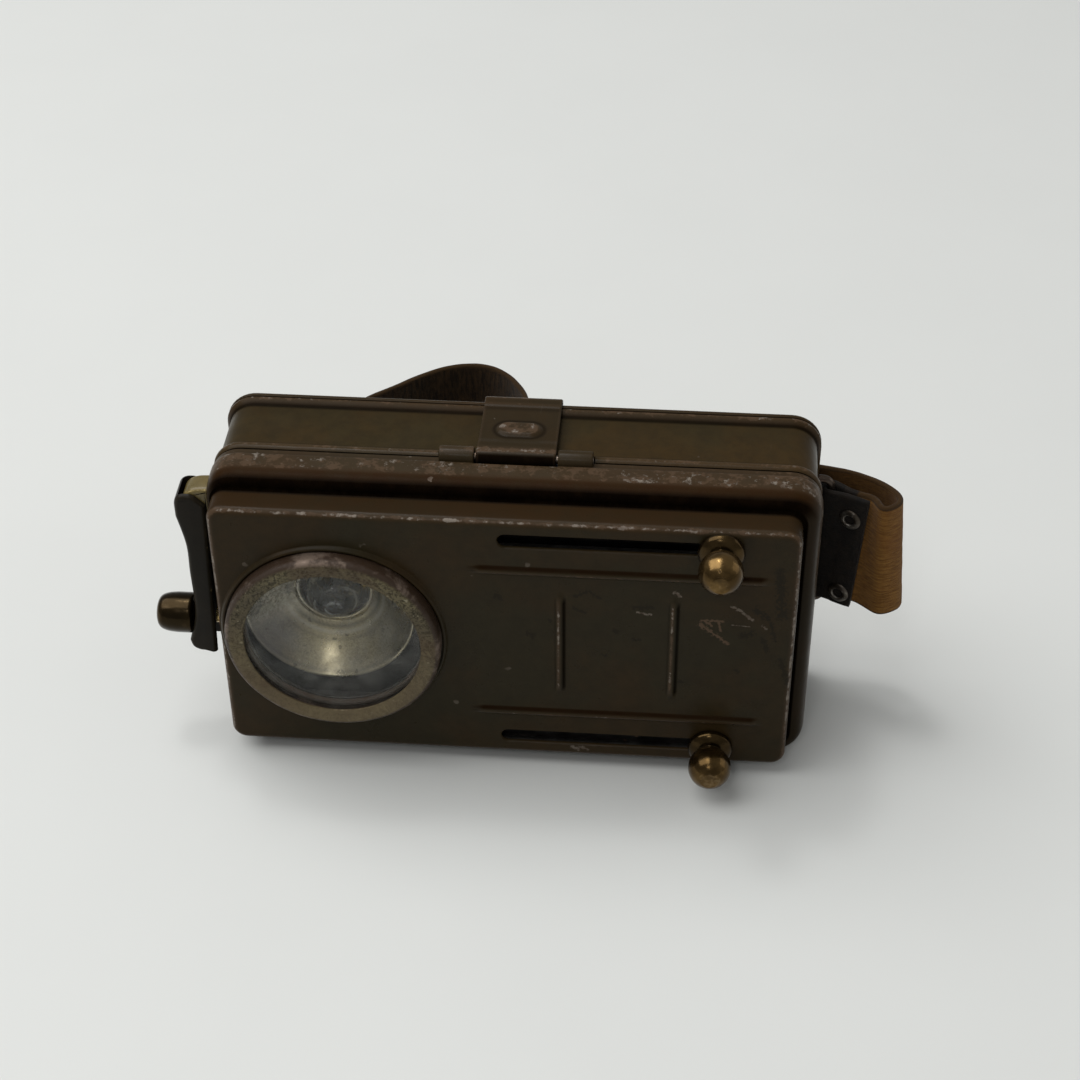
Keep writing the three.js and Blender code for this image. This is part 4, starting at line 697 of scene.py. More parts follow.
def fieldLines(half, corner, coarse, fineAt=(), fineReach=1.25):
    # grid lines from edge to edge, closer at the fine places, with tangent steps in the corners
    lines = list(np.linspace(-(half - corner), half - corner, int(2 * (half - corner) / coarse)))
    for middle in fineAt:
        lines = [x for x in lines if abs(x - middle) > fineReach + 0.1]
        lines += list(middle + np.linspace(-fineReach, fineReach, 13))
    steps = np.tan(np.linspace(0, math.pi / 4, 6)[1:]) * corner
    lines += list(half - corner + steps) + list(-(half - corner) - steps)
    return np.array(sorted(lines))


def field(halfX, halfZ, corner, middleX, linesX, linesZ):
    # a square grid whose corner squares are drawn onto the rounded corners, and its border walked once round
    x, z = np.meshgrid(linesX, linesZ, indexing="ij")
    overX = np.maximum(np.abs(x) - (halfX - corner), 0)
    overZ = np.maximum(np.abs(z) - (halfZ - corner), 0)
    pull = np.maximum(overX, overZ) / np.maximum(np.hypot(overX, overZ), 1e-9)
    pull = np.where(overX * overZ > 0, pull, 1)
    px = np.sign(x) * (np.minimum(np.abs(x), halfX - corner) + overX * pull)
    pz = np.sign(z) * (np.minimum(np.abs(z), halfZ - corner) + overZ * pull)
    index = np.arange(x.size).reshape(x.shape)
    border = np.concatenate([index[:-1, 0], index[-1, :-1], index[:0:-1, -1], index[0, :0:-1]])
    bx, bz = px.ravel()[border], pz.ravel()[border]
    sideX = np.clip(bx / (halfX - corner), -1, 1)
    sideZ = np.clip(bz / (halfZ - corner), -1, 1)
    outX, outZ = bx - sideX * (halfX - corner), bz - sideZ * (halfZ - corner)
    length = np.hypot(outX, outZ)
    return px + middleX, pz, border, (sideX, sideZ, outX / length, outZ / length)


def caseLoop(walk, spread, inset, y):
    # the border on another outline: spread 0 is the panel's, 1 the shoulder's, drawn in by inset
    (px, pz, pc), (sx, sz, sc) = case["panel"], case["shoulder"]
    halfX, halfZ = px + (sx - px) * spread - inset, pz + (sz - pz) * spread - inset
    corner = max(pc + (sc - pc) * spread - inset, 0.2)
    sideX, sideZ, outX, outZ = walk
    middle = case["panelMiddle"] * (1 - spread)
    x = middle + sideX * (halfX - corner) + outX * corner
    z = sideZ * (halfZ - corner) + outZ * corner
    return np.stack([x, np.full_like(x, y), z], 1)


def pressedShell(name, face, faceLooks, border, walk, rings):
    # a face grid, then rings from its border round to the inside, closed by one flat face; a ring holds
    # its spread, draw-in, depth, wear (which also paints highlights), dirt (which also paints shade) and
    # ruddiness (a red-brown painted shade)
    index = np.arange(face[..., 0].size).reshape(face.shape[:2])
    loops = index.size + np.arange(len(rings) * len(border)).reshape(len(rings), -1)
    walls = gridFaces(np.concatenate([border[None], loops]), closeAround=True)
    points = np.concatenate([face.reshape(-1, 3)] + [caseLoop(walk, *ring[:3]) for ring in rings])
    attributes = {label: np.concatenate([
        over.ravel(), *(np.broadcast_to(ring[k], len(border)) for ring in rings)])
        for k, (label, over) in enumerate(faceLooks.items(), 3)}
    return makeObject(name, points, gridFaces(index) + walls + [loops[-1]], attributes, 30)


def frontCase():
    c = case
    edge, sheetIn, groove, middleX = c["panelEdge"], c["sheet"], c["groove"], c["panelMiddle"]
    halfX, halfZ, corner = (v - edge for v in c["panel"])
    starts = [start for start, _ in c["ridges"]]
    linesX = fieldLines(halfX, corner, 1.4, [x - middleX for x, _ in starts[2:]])
    linesZ = fieldLines(halfZ, corner, 1.4, [z for _, z in starts[:2]])
    px, pz, border, walk = field(halfX, halfZ, corner, middleX, linesX, linesZ)
    rise, worn, soiledAndShaded, redShade, flat = (np.zeros_like(px) for _ in range(5))
    sideways, upwards = np.abs(walk[2]), smoothstep(walk[3], 0.2, 0.9)
    for (x1, z1), (x2, z2) in c["ridges"]:
        level = z1 == z2
        t = np.clip(((px - x1) * (x2 - x1) + (pz - z1) * (z2 - z1)) / ((x2 - x1) ** 2 + (z2 - z1) ** 2), 0, 1)
        away = np.hypot(px - x1 - t * (x2 - x1), pz - z1 - t * (z2 - z1)) / c["ridgeWidth"]
        rise = np.maximum(rise, c["ridgeRise"] * np.clip(1 - away ** 2, 0, 1) ** 0.8)
        side = ((px - x1) * (z2 - z1) - (pz - z1) * (x2 - x1)) / math.hypot(x2 - x1, z2 - z1)
        side = side / c["ridgeWidth"]
        # the crest's wear sits on the side toward the light, partly a painted highlight; the side away from
        # the light gets painted shade, red-brown on the long ridges, and a darker band runs round each
        # ridge's foot
        crest = smoothstep(np.abs(side - 0.3), 0.6, 0.15) * (away < 1)
        worn = np.maximum(worn, crest * (0.62 if level else 0.86))
        shadedSide = smoothstep(away, 1.4, 1.0) * smoothstep(side, -0.3, -0.65)
        soiledAndShaded = np.maximum(soiledAndShaded, shadedSide * (0.45 if level else 0.8))
        redShade = np.maximum(redShade, shadedSide * level)
        soiledAndShaded = np.maximum(soiledAndShaded, smoothstep(away, 0.75, 0.95) * smoothstep(away, 1.3, 1.05) * 0.35)
    still = smoothstep(np.minimum(halfX - np.abs(px - middleX), halfZ - np.abs(pz)), 0, 6)
    rise += c["buckle"] * still * wave(np.stack([px, flat, pz], -1), 46, 1.7)
    face = np.stack([px, -rise, pz], -1)
    # panel edge, wall and groove; the edge's wear, stronger on the ends, is partly a painted highlight, and
    # the wall and groove are painted dark as shade under the shoulder's step
    theta = np.linspace(0, quarter, 9)
    rings = [(0, edge * (1 - math.sin(a)), edge * (1 - math.cos(a)),
              0.06 + (0.88 + 0.12 * sideways) * math.sin(2 * a) ** 2, 0) for a in theta[1:]]
    step, foot = c["shoulder"][1] - c["panel"][1], c["rise"] - groove
    rings += [(0, 0, 2.6, 0, 0), (0, 0, foot - 0.5, 0.15, 0.1), (0, 0, foot, 0, 0.7)]
    rings += [(groove * (1 - math.cos(a)) / step, 0, foot + groove * math.sin(a), 0, 1) for a in theta[2::2]]
    # shoulder, a superellipse; the wear on its top also paints a highlight band, stronger on the ends, and
    # its front is painted as shade, red-brown and then near black, most along the top side
    power = 2 / c["shoulderPower"]
    for a in np.linspace(0.05, quarter, 14):
        rings.append((1 - (1 - groove / step) * (1 - math.sin(a) ** power), 0,
                      c["rise"] + c["shoulderDepth"] * (1 - math.cos(a) ** power),
                      0.05 + (0.70 + 0.12 * sideways) * smoothstep(a, 1.0, 1.25),
                      smoothstep(a, 0.95, 0.5) * (0.35 + 0.65 * upwards),
                      smoothstep(a, 1.35, 1.1) * (0.25 + 0.75 * upwards)))
    # edge at the seam, and back inside; the wear here also paints a highlight band, and the last rings paint
    # the shade in the seam's gap
    seamEdge = c["seam"] - c["seamGap"]
    rings += [(1, inset, seamEdge - up, wearAndSheen, dirtAndShade) for inset, up, wearAndSheen, dirtAndShade in (
        (0, 2.1, 0.75, 0), (0.06, 1.75, 0.7, 0), (0.3, 1.45, 0.5, 0.1), (0.34, 1.2, 0.5, 0.1),
        (0.3, 0.5, 0.6, 0), (0.34, 0.2, 0.5, 0.2), (0.55, 0, 0.3, 0.8), (sheetIn + 0.3, 0, 0, 1))]
    rings += [(1, sheetIn + 0.3, c["lipStart"], 0, 0)]
    inner, small = c["shoulderEdge"] - sheetIn, edge - sheetIn
    rings += [(1 - inner / step * (1 - math.sin(a)), sheetIn,
               c["rise"] + sheetIn + inner * (1 - math.cos(a)), 0, 0) for a in theta[::-2]]
    rings += [(0, sheetIn, c["rise"] + sheetIn, 0, 0)]
    rings += [(0, sheetIn + small * (1 - math.sin(a)), sheetIn + small * (1 - math.cos(a)), 0, 0)
              for a in theta[::-2]]
    # rings given no ruddy value: red-brown painted shade on the panel's wall, little elsewhere
    rings = [ring if len(ring) > 5 else (*ring, 0.6 if 1 < ring[2] < c["rise"] else 0.1) for ring in rings]
    faceLooks = {"wearAndSheen": worn, "dirtAndShade": soiledAndShaded, "ruddy": redShade}
    return pressedShell("front_case", face, faceLooks, border, walk, rings)


def slotCutter(name, z):
    # a stadium prism whose mouth opens out a little at the face
    left, right, _, half = case["slots"]
    turn = np.linspace(-quarter, quarter, 17)
    rings = []
    for y, wide in ((-1.5, 0.25), (-0.02, 0.25), (0.16, 0.06), (0.3, 0.0), (1.8, 0.0)):
        r = half + wide
        x = np.concatenate([right - half + r * np.cos(turn), left + half - r * np.cos(turn)])
        rings.append(np.stack([x, np.full_like(x, y), z + r * np.sin([*turn, *(turn + math.pi)])], 1))
    return gridObject(name, np.array(rings))


# pill is length, width and rise; each rub is its place across and along the leaf, from the pill's middle,
# and its strength
hinge = {"sink": 0.28, "x": 0.3, "y": 15.4, "z": 33.25, "half": 14.65, "tab": 7.6, "gap": 0.4,
         "knuckle": 1.9, "pin": 0.8, "clearance": 0.2, "room": 0.3, "leaf": 0.7, "drop": 8.6, "lift": 0.25,
         "pill": (9.0, 4.9, 0.55), "pillShare": 0.44,
         "rubs": ((-3.1, 0.3, 0.35), (2.8, 0.2, 0.35), (-0.6, -1.1, 0.6))}
hingeAt = (hinge["x"], hinge["y"], hinge["z"])


def hingeRoom(name, half):
    return turnedObject(name, discProfile(hinge["knuckle"] + hinge["room"], -half, half, 0), (1, 0, 0),
                        hingeAt, 40)


shell = frontCase()
windowX, windowHole = case["window"]
windowAt = (windowX, 0, 0)
cutAway(shell, slotCutter("slotA", case["slots"][2]), slotCutter("slotB", -case["slots"][2]),
        turnedObject("hole", discProfile(windowHole, -2, 2, 0), (0, 1, 0), windowAt),
        hingeRoom("tabRoom", hinge["tab"] + hinge["gap"]))
dress(shell, "lamp_case", "case_paint", "front_shell")

collar = {"inner": 21.45, "outer": 22.3, "rise": 0.7, "slope": 0.4}
profile = ringProfile([
    (collar["inner"], 0.3), (collar["inner"], -collar["rise"]),
    (collar["outer"] - collar["slope"], -collar["rise"]), (collar["outer"], 0.0),
    (collar["outer"] + 0.25, 0.06), (collar["outer"], 0.3)], (0, 0.15, 0.35, 0.3, 0, 0), 5)
dress(turnedObject("window_collar", profile, (0, 1, 0), windowAt, 144), "lamp_case", "case_paint")

for side, label in ((-1, "left"), (1, "right")):
    bore, start, end = hinge["pin"] + hinge["clearance"], hinge["tab"] + hinge["gap"], hinge["half"]
    profile = ringProfile([(bore, start), (hinge["knuckle"], start), (hinge["knuckle"], end), (bore, end)],
                          (0, 0.3, 0.3, 0), 4)
    # more wear on the upper side, which also paints the light line along their tops
    upness = -side * np.cos(circle(48) + quarter) * (profile[:, :1] > 1.5)
    dress(turnedObject(f"{label}_knuckle", profile, (side, 0, 0), hingeAt, 48, {
        "wearAndSheen": 0.25 + 0.45 * smoothstep(upness, 0.6, 0.95)}), "lamp_case", "case_paint")
print("front case made")


def backCase():
    c = case
    edge, sheetIn, seam = c["rimEdge"], c["sheet"], c["seam"] + c["seamGap"]
    halfX, halfZ, corner = (v - edge for v in c["shoulder"])
    linesX, linesZ = fieldLines(halfX, corner, 2.6), fieldLines(halfZ, corner, 2.6)
    px, pz, border, walk = field(halfX, halfZ, corner, 0, linesX, linesZ)
    still = smoothstep(np.minimum(halfX - np.abs(px), halfZ - np.abs(pz)), 0, 9)
    none = np.zeros_like(px)
    face = np.stack([px, c["depth"] + 0.1 * still * wave(np.stack([px, none, pz], -1), 52, 0.6), pz], -1)
    # rounded edge, rim and band; here a ring is its draw-in, depth, wear and dirt; the rim's wear also paints
    # its light line, and the dirt paints shade in the creases beside the rim and the bead
    theta = np.linspace(0, quarter, 7)
    rings = [(edge * (1 - math.sin(a)), c["depth"] - edge * (1 - math.cos(a)),
              0.1 + 0.75 * math.sin(2 * a) ** 2, 0) for a in theta[1:]]
    fold, start, top = c["depth"] - edge, c["rimStart"], c["rimStart"] + c["rimRise"]
    band, bead, width = c["band"], c["bead"], c["beadWidth"]
    rings += [(0.06, fold - 0.15, 0.5, 0.2), (0.24, fold - 0.3, 0, 1), (0.24, fold - 0.55, 0, 1),
              (0.02, fold - 0.7, 0.72, 0), (0, top + 0.15, 0.72, 0), (0.12, top - 0.05, 0.62, 0),
              (band - 0.15, start + 0.12, 0.1, 0.85), (band, start - 0.25, 0, 0.85),
              (band, start - 0.9, 0, 0.1), (band, c["bandMiddle"], 0, 0), (band, seam + width + 0.8, 0, 0),
              (band, seam + width + 0.3, 0, 0.7), (band - 0.1, seam + width, 0, 0.6)]
    # bead at the seam, and back inside; the dark rings at the seam paint its shade
    rings += [(band - (band - bead) * math.sin(a) ** 0.7, seam + width * (0.5 + 0.5 * math.cos(a)),
               0.15 + 0.6 * math.sin(a) ** 2, 0) for a in np.linspace(0, math.pi, 9)[1:-1]]
    inside, inner = band + sheetIn, edge - sheetIn
    rings += [(bead + 0.35, seam, 0.2, 0.7), (sheetIn, seam, 0, 1), (sheetIn, seam + width - 0.4, 0, 0),
              (inside, seam + width + 0.4, 0, 0), (inside, c["bandMiddle"], 0, 0)]
    rings += [(inside + inner * (1 - math.sin(a)), c["depth"] - sheetIn - inner * (1 - math.cos(a)), 0, 0)
              for a in theta[::-2]]
    return pressedShell("back_case", face, {"wearAndSheen": none, "dirtAndShade": none, "ruddy": none}, border, walk,
                        [(1, *ring, 0.3 * (ring[1] > start)) for ring in rings])


back = backCase()
cutAway(back, hingeRoom("hingeRoom", hinge["half"] + hinge["room"]))
dress(back, "back", "case_paint", "rear_cover")
back.data.materials[0] = looks["back_paint"]  # a lighter tone that paints the light on the back's top band, in the case's slot


def hingeTab():
    # a strip along its line, outer face lifted into a pill, both faces joined round the edges
    h = hinge
    curl = h["pin"] + h["clearance"] + h["leaf"] / 2
    turn = np.radians(np.linspace(-30, -270, 26))
    arc = np.stack([h["y"] + curl * np.cos(turn), h["z"] + curl * np.sin(turn)], 1)
    topZ, backY = h["z"] + h["lift"] + h["leaf"] / 2, case["depth"] + h["lift"] + h["leaf"] / 2
    edge = case["rimEdge"]
    bend = np.linspace(quarter, 0, 9)
    over = np.stack([backY - edge + edge * np.cos(bend), topZ - edge + edge * np.sin(bend)], 1)
    line = np.concatenate([arc, [(case["depth"] - edge, topZ)], over[1:], [(backY, topZ - h["drop"])]])
    line = evenLine(line, 0.22)
    crest = case["rimStart"] + case["rimRise"]
    sunk = smoothstep(line[:, 0], crest + 0.3, crest - 0.6)
    sunk = sunk * smoothstep(line[:, 0], h["y"] + 2.4, h["y"] + 4.4)
    line[:, 1] -= h["sink"] * sunk * (line[:, 1] > h["z"])
    ahead = unit(np.gradient(line, axis=0))
    normal = np.stack([-ahead[:, 1], ahead[:, 0]], 1)
    across = np.concatenate([np.linspace(-h["tab"], -h["tab"] + 0.4, 5), np.arange(-7.0, 7.01, 0.25),
                             np.linspace(h["tab"] - 0.4, h["tab"], 5)])
    length, wide, rise = h["pill"]
    pillY = h["y"] + (case["depth"] - edge - h["y"]) * h["pillShare"]
    dx = np.maximum(np.abs(across)[None] - (length - wide) / 2, 0)
    dy = (line[:, :1] - pillY) * (line[:, 1:] > h["z"])
    dy = np.where(line[:, 1:] > h["z"] + 0.3, dy, 9)
    away = np.hypot(dx, dy) / (wide / 2)
    lift = rise * smoothstep(away, 1.08, 0.62)
    outer = np.clip((np.abs(across) - (h["tab"] - 0.4)) / 0.4, 0, 1)
    edgeDrop = 0.2 * (1 - np.sqrt(np.clip(1 - outer ** 2, 0, 1)))
    half = h["leaf"] / 2
    top = line[:, None] + normal[:, None] * (half + lift - edgeDrop[None])[..., None]
    low = line[:, None] - normal[:, None] * (half - edgeDrop[None])[..., None]
    rings = np.concatenate([top, low[:, ::-1]], 1)
    x = np.broadcast_to(np.concatenate([across, across[::-1]]) + h["x"], rings.shape[:2])
    rubs = sum(gain * np.exp(-((across[None] - x) ** 2 + (dy - y) ** 2) / 0.9) for x, y, gain in h["rubs"])
    worn = 0.1 + lift / rise * 0.58 + 0.3 * (np.abs(across)[None] > h["tab"] - 0.5) + rubs
    worn = np.concatenate([worn, np.zeros_like(worn)], 1)
    # full wear on the barrel's top lip, which also paints its light line
    barrel = smoothstep(line[:, 0], h["y"] + 2.4, h["y"] + 0.6)
    lip = barrel * smoothstep(line[:, 1], h["z"] + 1.15, h["z"] + 1.4)
    bend = smoothstep(line[:, 0], case["depth"] - 1.5, case["depth"] - 0.4)
    bend = bend * smoothstep(line[:, 1], h["z"] - 1.0, h["z"])
    fold = np.exp(-((line[:, 0] - crest - 0.3) / 0.45) ** 2)
    worn = np.maximum(worn, np.maximum(lip * 0.98, np.maximum(bend * 0.66, fold * 0.62))[:, None])
    # painted shade: dark on the barrel below its lip, in the gap to the case; a darker ring round the pill
    # and a darker band just in front of the rim's crest
    gapShade = barrel * smoothstep(line[:, 1], h["z"] + 1.3, h["z"] + 1.0)
    moat = smoothstep(away, 1.45, 1.15) * smoothstep(away, 0.85, 1.1) * 0.6
    under = 0.4 * np.exp(-((line[:, 0] - crest + 1.1) / 0.6) ** 2)
    soiledAndShaded = np.maximum(np.maximum(gapShade, under)[:, None], np.concatenate([moat, np.zeros_like(moat)], 1))
    return gridObject("hinge_tab", np.concatenate([x[..., None], rings], -1), angle=40, attributes={
        "wearAndSheen": worn, "dirtAndShade": np.broadcast_to(soiledAndShaded, worn.shape), "ruddy": np.full_like(worn, 0.3)})


dress(hingeTab(), "back", "case_paint", "hinge_leaf")
pinHalf = hinge["half"] + 0.1
profile = discProfile(hinge["pin"], -pinHalf, pinHalf, 0.25, 4)
dress(turnedObject("hinge_wire", profile, (1, 0, 0), hingeAt, 24), "lamp_case", "fastener_steel", "hinge_pin")
print("back and hinge made")

# the lamp window: bezel, lens, reflector and bulb
bezel = {"radius": 21.15, "rise": 3.75, "wall": 0.75, "rounding": 1.3, "opening": 17.3, "lip": 0.8,
         "tube": 19.1, "tubeWall": 0.5, "tubeEnd": 1.5}


def bezelRing():
    b = bezel
    radius, opening, tube, tubeEnd = b["radius"], b["opening"], b["tube"], b["tubeEnd"]
    face, under = -b["rise"], -b["rise"] + b["lip"]
    turn = np.linspace(0, quarter, 9)
    crown = [(radius - b["rounding"] * (1 - math.sin(a)), face + b["rounding"] * (1 - math.cos(a)))
             for a in turn]
    wall, bore = radius - b["wall"], tube - b["tubeWall"]
    profile = np.array([
        (opening + 0.1, under), (opening, under - 0.2), (opening, face + 0.5), (opening + 0.1, face + 0.36),
        (opening + 0.35, face + 0.28), (opening + 1.2, face + 0.16), (opening + 2.0, face + 0.02), *crown,
        (radius + 0.02, -1.6), (radius, -0.35), (radius - 0.1, -0.2), (wall, -0.2), (wall, under + 0.3),
        (tube, under), (tube, tubeEnd - 0.1), (tube - 0.1, tubeEnd), (bore + 0.1, tubeEnd),
        (bore, tubeEnd - 0.1), (bore, under), (opening + 0.1, under)])
    lip = np.where(profile[:, 1] < face + 0.6, smoothstep(profile[:, 0], radius - 0.55, radius - 1.15), 0.0)
    return turnedObject("bezel", profile, (0, 1, 0), windowAt, 160, {"lip": lip})


dress(bezelRing(), "lamp_case", "bezel_metal", "bezel_ring")
lens = {"front": -bezel["rise"] + bezel["lip"] + 0.3, "radius": 18.3, "thick": 1.4}
dress(turnedObject("window_glass", discProfile(lens["radius"], lens["front"], lens["front"] + lens["thick"]),
                   (0, 1, 0), windowAt, 128), "lamp_case", "lens_glass", "lens_glass")
lampAt = (lamp["x"], 0, 0)


def reflectorBowl():
    # a parabola from mouth to neck, a small bead at each, and a flange behind
    p = lamp
    neckY = p["mouthY"] + p["depth"]
    slope = (p["mouth"] ** 2 - p["neck"] ** 2) / p["depth"]
    radius = np.linspace(p["mouth"], p["neck"] + 0.95, 40)
    inside = np.stack([radius, neckY - (radius ** 2 - p["neck"] ** 2) / slope], 1)
    turn = np.linspace(-0.2, 1.0, 8) * math.pi
    bead = np.stack([p["neck"] + 0.35 + 0.55 * np.cos(turn), neckY - 0.1 - 0.55 * np.sin(turn)], 1)
    outside = inside[::-1] + p["wall"]
    outside = outside[outside[:, 1] > p["flange"] + 1.1]
    skirt = p["mouth"] + p["wall"]
    profile = np.concatenate([inside, bead, outside, [
        (p["mouth"], p["flange"] + p["wall"]), (p["rim"], p["flange"] + p["wall"]), (p["rim"], p["flange"]),
        (skirt, p["flange"]), (skirt, p["mouthY"] + 0.12), (skirt - 0.15, p["mouthY"] - 0.06),
        (p["mouth"] + 0.12, p["mouthY"] - 0.06), tuple(inside[0])]])
    return turnedObject("reflector_bowl", profile, (0, 1, 0), lampAt, 144, angle=50)


dress(reflectorBowl(), "lamp_case", "reflector_silver", "reflector")


def bulb():
    p = lamp
    middle = p["globeFront"] + p["globe"]
    angles = np.linspace(0, math.pi - math.asin(p["neckRadius"] / p["globe"]), 36)
    ball = np.stack([p["globe"] * np.sin(angles), middle - p["globe"] * np.cos(angles)], 1)
    profile = np.concatenate([ball, [(p["neckRadius"], p["capStart"] - 0.2), (0, p["capStart"] - 0.2)]])
    return turnedObject("bulb_globe", profile, (0, 1, 0), lampAt, 80, angle=50)


dress(bulb(), "lamp_case", "bulb_glass", "bulb_glass")
filament = {"half": 1.9, "depth": 12.2, "bow": 0.7, "coil": 0.22, "turns": 17, "wire": 0.06, "post": 0.16}
for side, label in ((-1, "left"), (1, "right")):
    line = splineLine([(lamp["x"] + side * out, depth, z) for out, depth, z in (
        (0.9, 18.2, 0), (1.0, 16.2, 0), (1.5, 13.8, 0.1), (filament["half"], filament["depth"], 0))], 16)
    dress(tubeObject(f"filament_post_{label}", line, filament["post"], 10), "lamp_case", "fastener_steel")
t = np.linspace(0, 1, 220)
wound = 2 * math.pi * filament["turns"] * t
coil = np.stack([lamp["x"] + filament["half"] * (2 * t - 1),
                 filament["depth"] - filament["bow"] * np.sin(math.pi * t) + filament["coil"] * np.sin(wound),
                 filament["coil"] * np.cos(wound)], 1)
ahead = unit(np.gradient(coil, axis=0))
sideways = unit(np.cross(ahead, [0.3, 1, 0.2]))
dress(gridObject("filament", roundGrid(coil, sideways, np.cross(ahead, sideways), filament["wire"], 6)),
      "lamp_case", "fastener_steel")
stem = [(0, 15.2), (0.7, 15.35), (1.3, 15.9), (1.35, 16.5), (1.0, 17.3), (1.2, 18.2), (0, 18.25)]
dress(turnedObject("bulb_stem", splineLine(stem, 30), (0, 1, 0), lampAt, 32), "lamp_case", "bulb_glass")


def threadedCap():
    # a cylinder whose radius rises and falls along a helix, with a stepped tip
    start, end, pitch = 0.5, 8.4, 1.6
    turn, height = circle(64), np.linspace(start, end, 60)
    ends = smoothstep(height, start, start + 0.7) * smoothstep(height, end, end - 0.8)
    thread = 0.3 * np.cos(height[:, None] / pitch * 2 * math.pi - turn) * ends[:, None]
    rings = [(0, 0), (4.3, 0), *zip(lamp["cap"] - 0.32 + thread, height), (3.9, 8.5), (2.1, 8.9), (1.8, 9.1),
             (1.7, 9.4), (1.1, 9.5), (0, 9.5)]
    return gridObject("bulb_screw_cap", np.array([np.stack([
        lamp["x"] + r * np.cos(turn), np.full(64, lamp["capStart"] + h), r * np.sin(turn)], 1)
        for r, h in rings]), angle=50)


dress(threadedCap(), "lamp_case", "contact_brass", "bulb_cap")
front = lens["front"]
for name, inner, outer, near, far, slotName, cadName in (
        ("glass_gasket", 17.4, lens["radius"], front + 1.7, front + 2.7, "gasket", "lens_gasket"),
        ("glass_snap_ring", 17.4, lens["radius"], front + 3.0, front + 3.6, "inner_steel", "lens_snap_ring"),
        ("bezel_nut", 19.3, 21.0, 0.8, 1.3, "inner_steel", "bezel_lock_ring")):
    profile = ringProfile([(inner, near), (outer, near), (outer, far), (inner, far)], 0.15, 3)
    dress(turnedObject(name, profile, (0, 1, 0), windowAt), "lamp_case", slotName, cadName)
print("lamp window made")

# colour slides and their knobs
slide = {"rest": 6.0, "knobX": 39.8, "slotZ": 25.3, "ball": 4.25, "ballRise": 6.2, "facet": 1.8,
         "neck": 2.3, "collar": 4.5, "stem": 1.3, "disc": 17.8, "discFront": 0.15, "discRear": 0.65}


def slideKnob(plateY):
    # a ball with a facet, a neck, a collar on the panel and a stem riveted behind the plate
    s = slide
    angles = np.linspace(math.asin(s["facet"] / s["ball"]),
                         math.pi - math.asin(s["neck"] / s["ball"]) - 0.08, 40)
    ball = np.stack([s["ball"] * np.sin(angles), -s["ballRise"] - s["ball"] * np.cos(angles)], 1)
    flat = ball[0, 1]
    start = [(0, flat + 0.1), (s["facet"] - 0.5, flat + 0.04), (s["facet"] - 0.06, flat)]
    foot = rounded([tuple(ball[-1]), (s["neck"], -3.0), (s["neck"] + 0.25, -2.55), (s["collar"] - 1.3, -2.25),
                    (s["collar"] - 0.25, -1.5), (s["collar"], -0.75), (s["collar"] - 0.1, -0.2),
                    (s["stem"], -0.2), (s["stem"], plateY - 0.2), (0.9, plateY - 0.2), (0.9, plateY + 1.0),
                    (1.7, plateY + 1.0), (1.7, plateY + 1.6), (0, plateY + 1.6)],
                   (0, 0.4, 0.15, 0.7, 0.7, 0.4, 0.1, 0, 0, 0, 0, 0.1, 0.25, 0), 4)
    profile = np.concatenate([start, ball, foot[1:]])
    wearAndSheen = np.where(np.abs(profile[:, 1] - flat) < 0.25, 0.7, 0.3)
    # painted shade in the neck under the ball and on the collar behind it
    dirtAndShade = smoothstep(np.abs(profile[:, 1] + 3.0), 1.5, 0.4) * 0.92
    dirtAndShade = np.maximum(dirtAndShade, smoothstep(profile[:, 1], -2.7, -2.3) * 0.62)
    return profile, {"wearAndSheen": wearAndSheen, "dirtAndShade": dirtAndShade}


for label, colourName, z, plateY in (("upper", "red", slide["slotZ"], 3.9),
                                     ("lower", "green", -slide["slotZ"], 2.0)):
    profile, worn = slideKnob(plateY)
    knob = turnedObject(f"{label}_knob", profile, (0, 1, 0), (slide["knobX"], 0, z), 88, worn, 24)
    dress(knob, f"{label}_slide", "knob_brass", f"{label}_slide_knob")
    disc = discProfile(slide["disc"], plateY + slide["discFront"], plateY + slide["discRear"])
    dress(turnedObject(f"{colourName}_disc", disc, (0, 1, 0), (slide["rest"], 0, 0)), f"{label}_slide",
          f"{colourName}_filter", f"{colourName}_filter")
print("slides made")

# switch: hood, brass base, contact knob and pin; its spring stays as in model.glb
wall = -case["shoulder"][0]
lever = {"y": 11.2, "depth": 7.2, "sheet": 0.9, "top": 26.6, "pinZ": 21.3, "pinOut": 2.2, "head": 6.5,
         "waist": 5.2, "waistZ": 7.0, "flare": 7.0, "flareZ": -10.9, "bottom": -13.5, "rootTop": 0.3,
         "rootBottom": 1.6, "slant": 2.5, "contactZ": -6.2, "baseTop": 27.8, "baseBottom": 16.5,
         "baseOut": 3.6, "plate": 0.8, "crownOut": 5.3}
leverAt, buttonAt = (wall, lever["y"], 0), (wall, lever["y"], lever["contactZ"])


def leverSide(inset):
    # one long side of the hood, drawn in at the waist and flared at the foot
    v = lever
    waist = v["waist"] - inset
    return splineLine([(-(v["head"] - inset), v["pinZ"]), (-waist, (v["pinZ"] + v["waistZ"]) / 2),
                       (-waist, v["waistZ"]), (-waist, v["contactZ"] / 2),
                       (-(v["flare"] - inset), v["flareZ"])], 40)


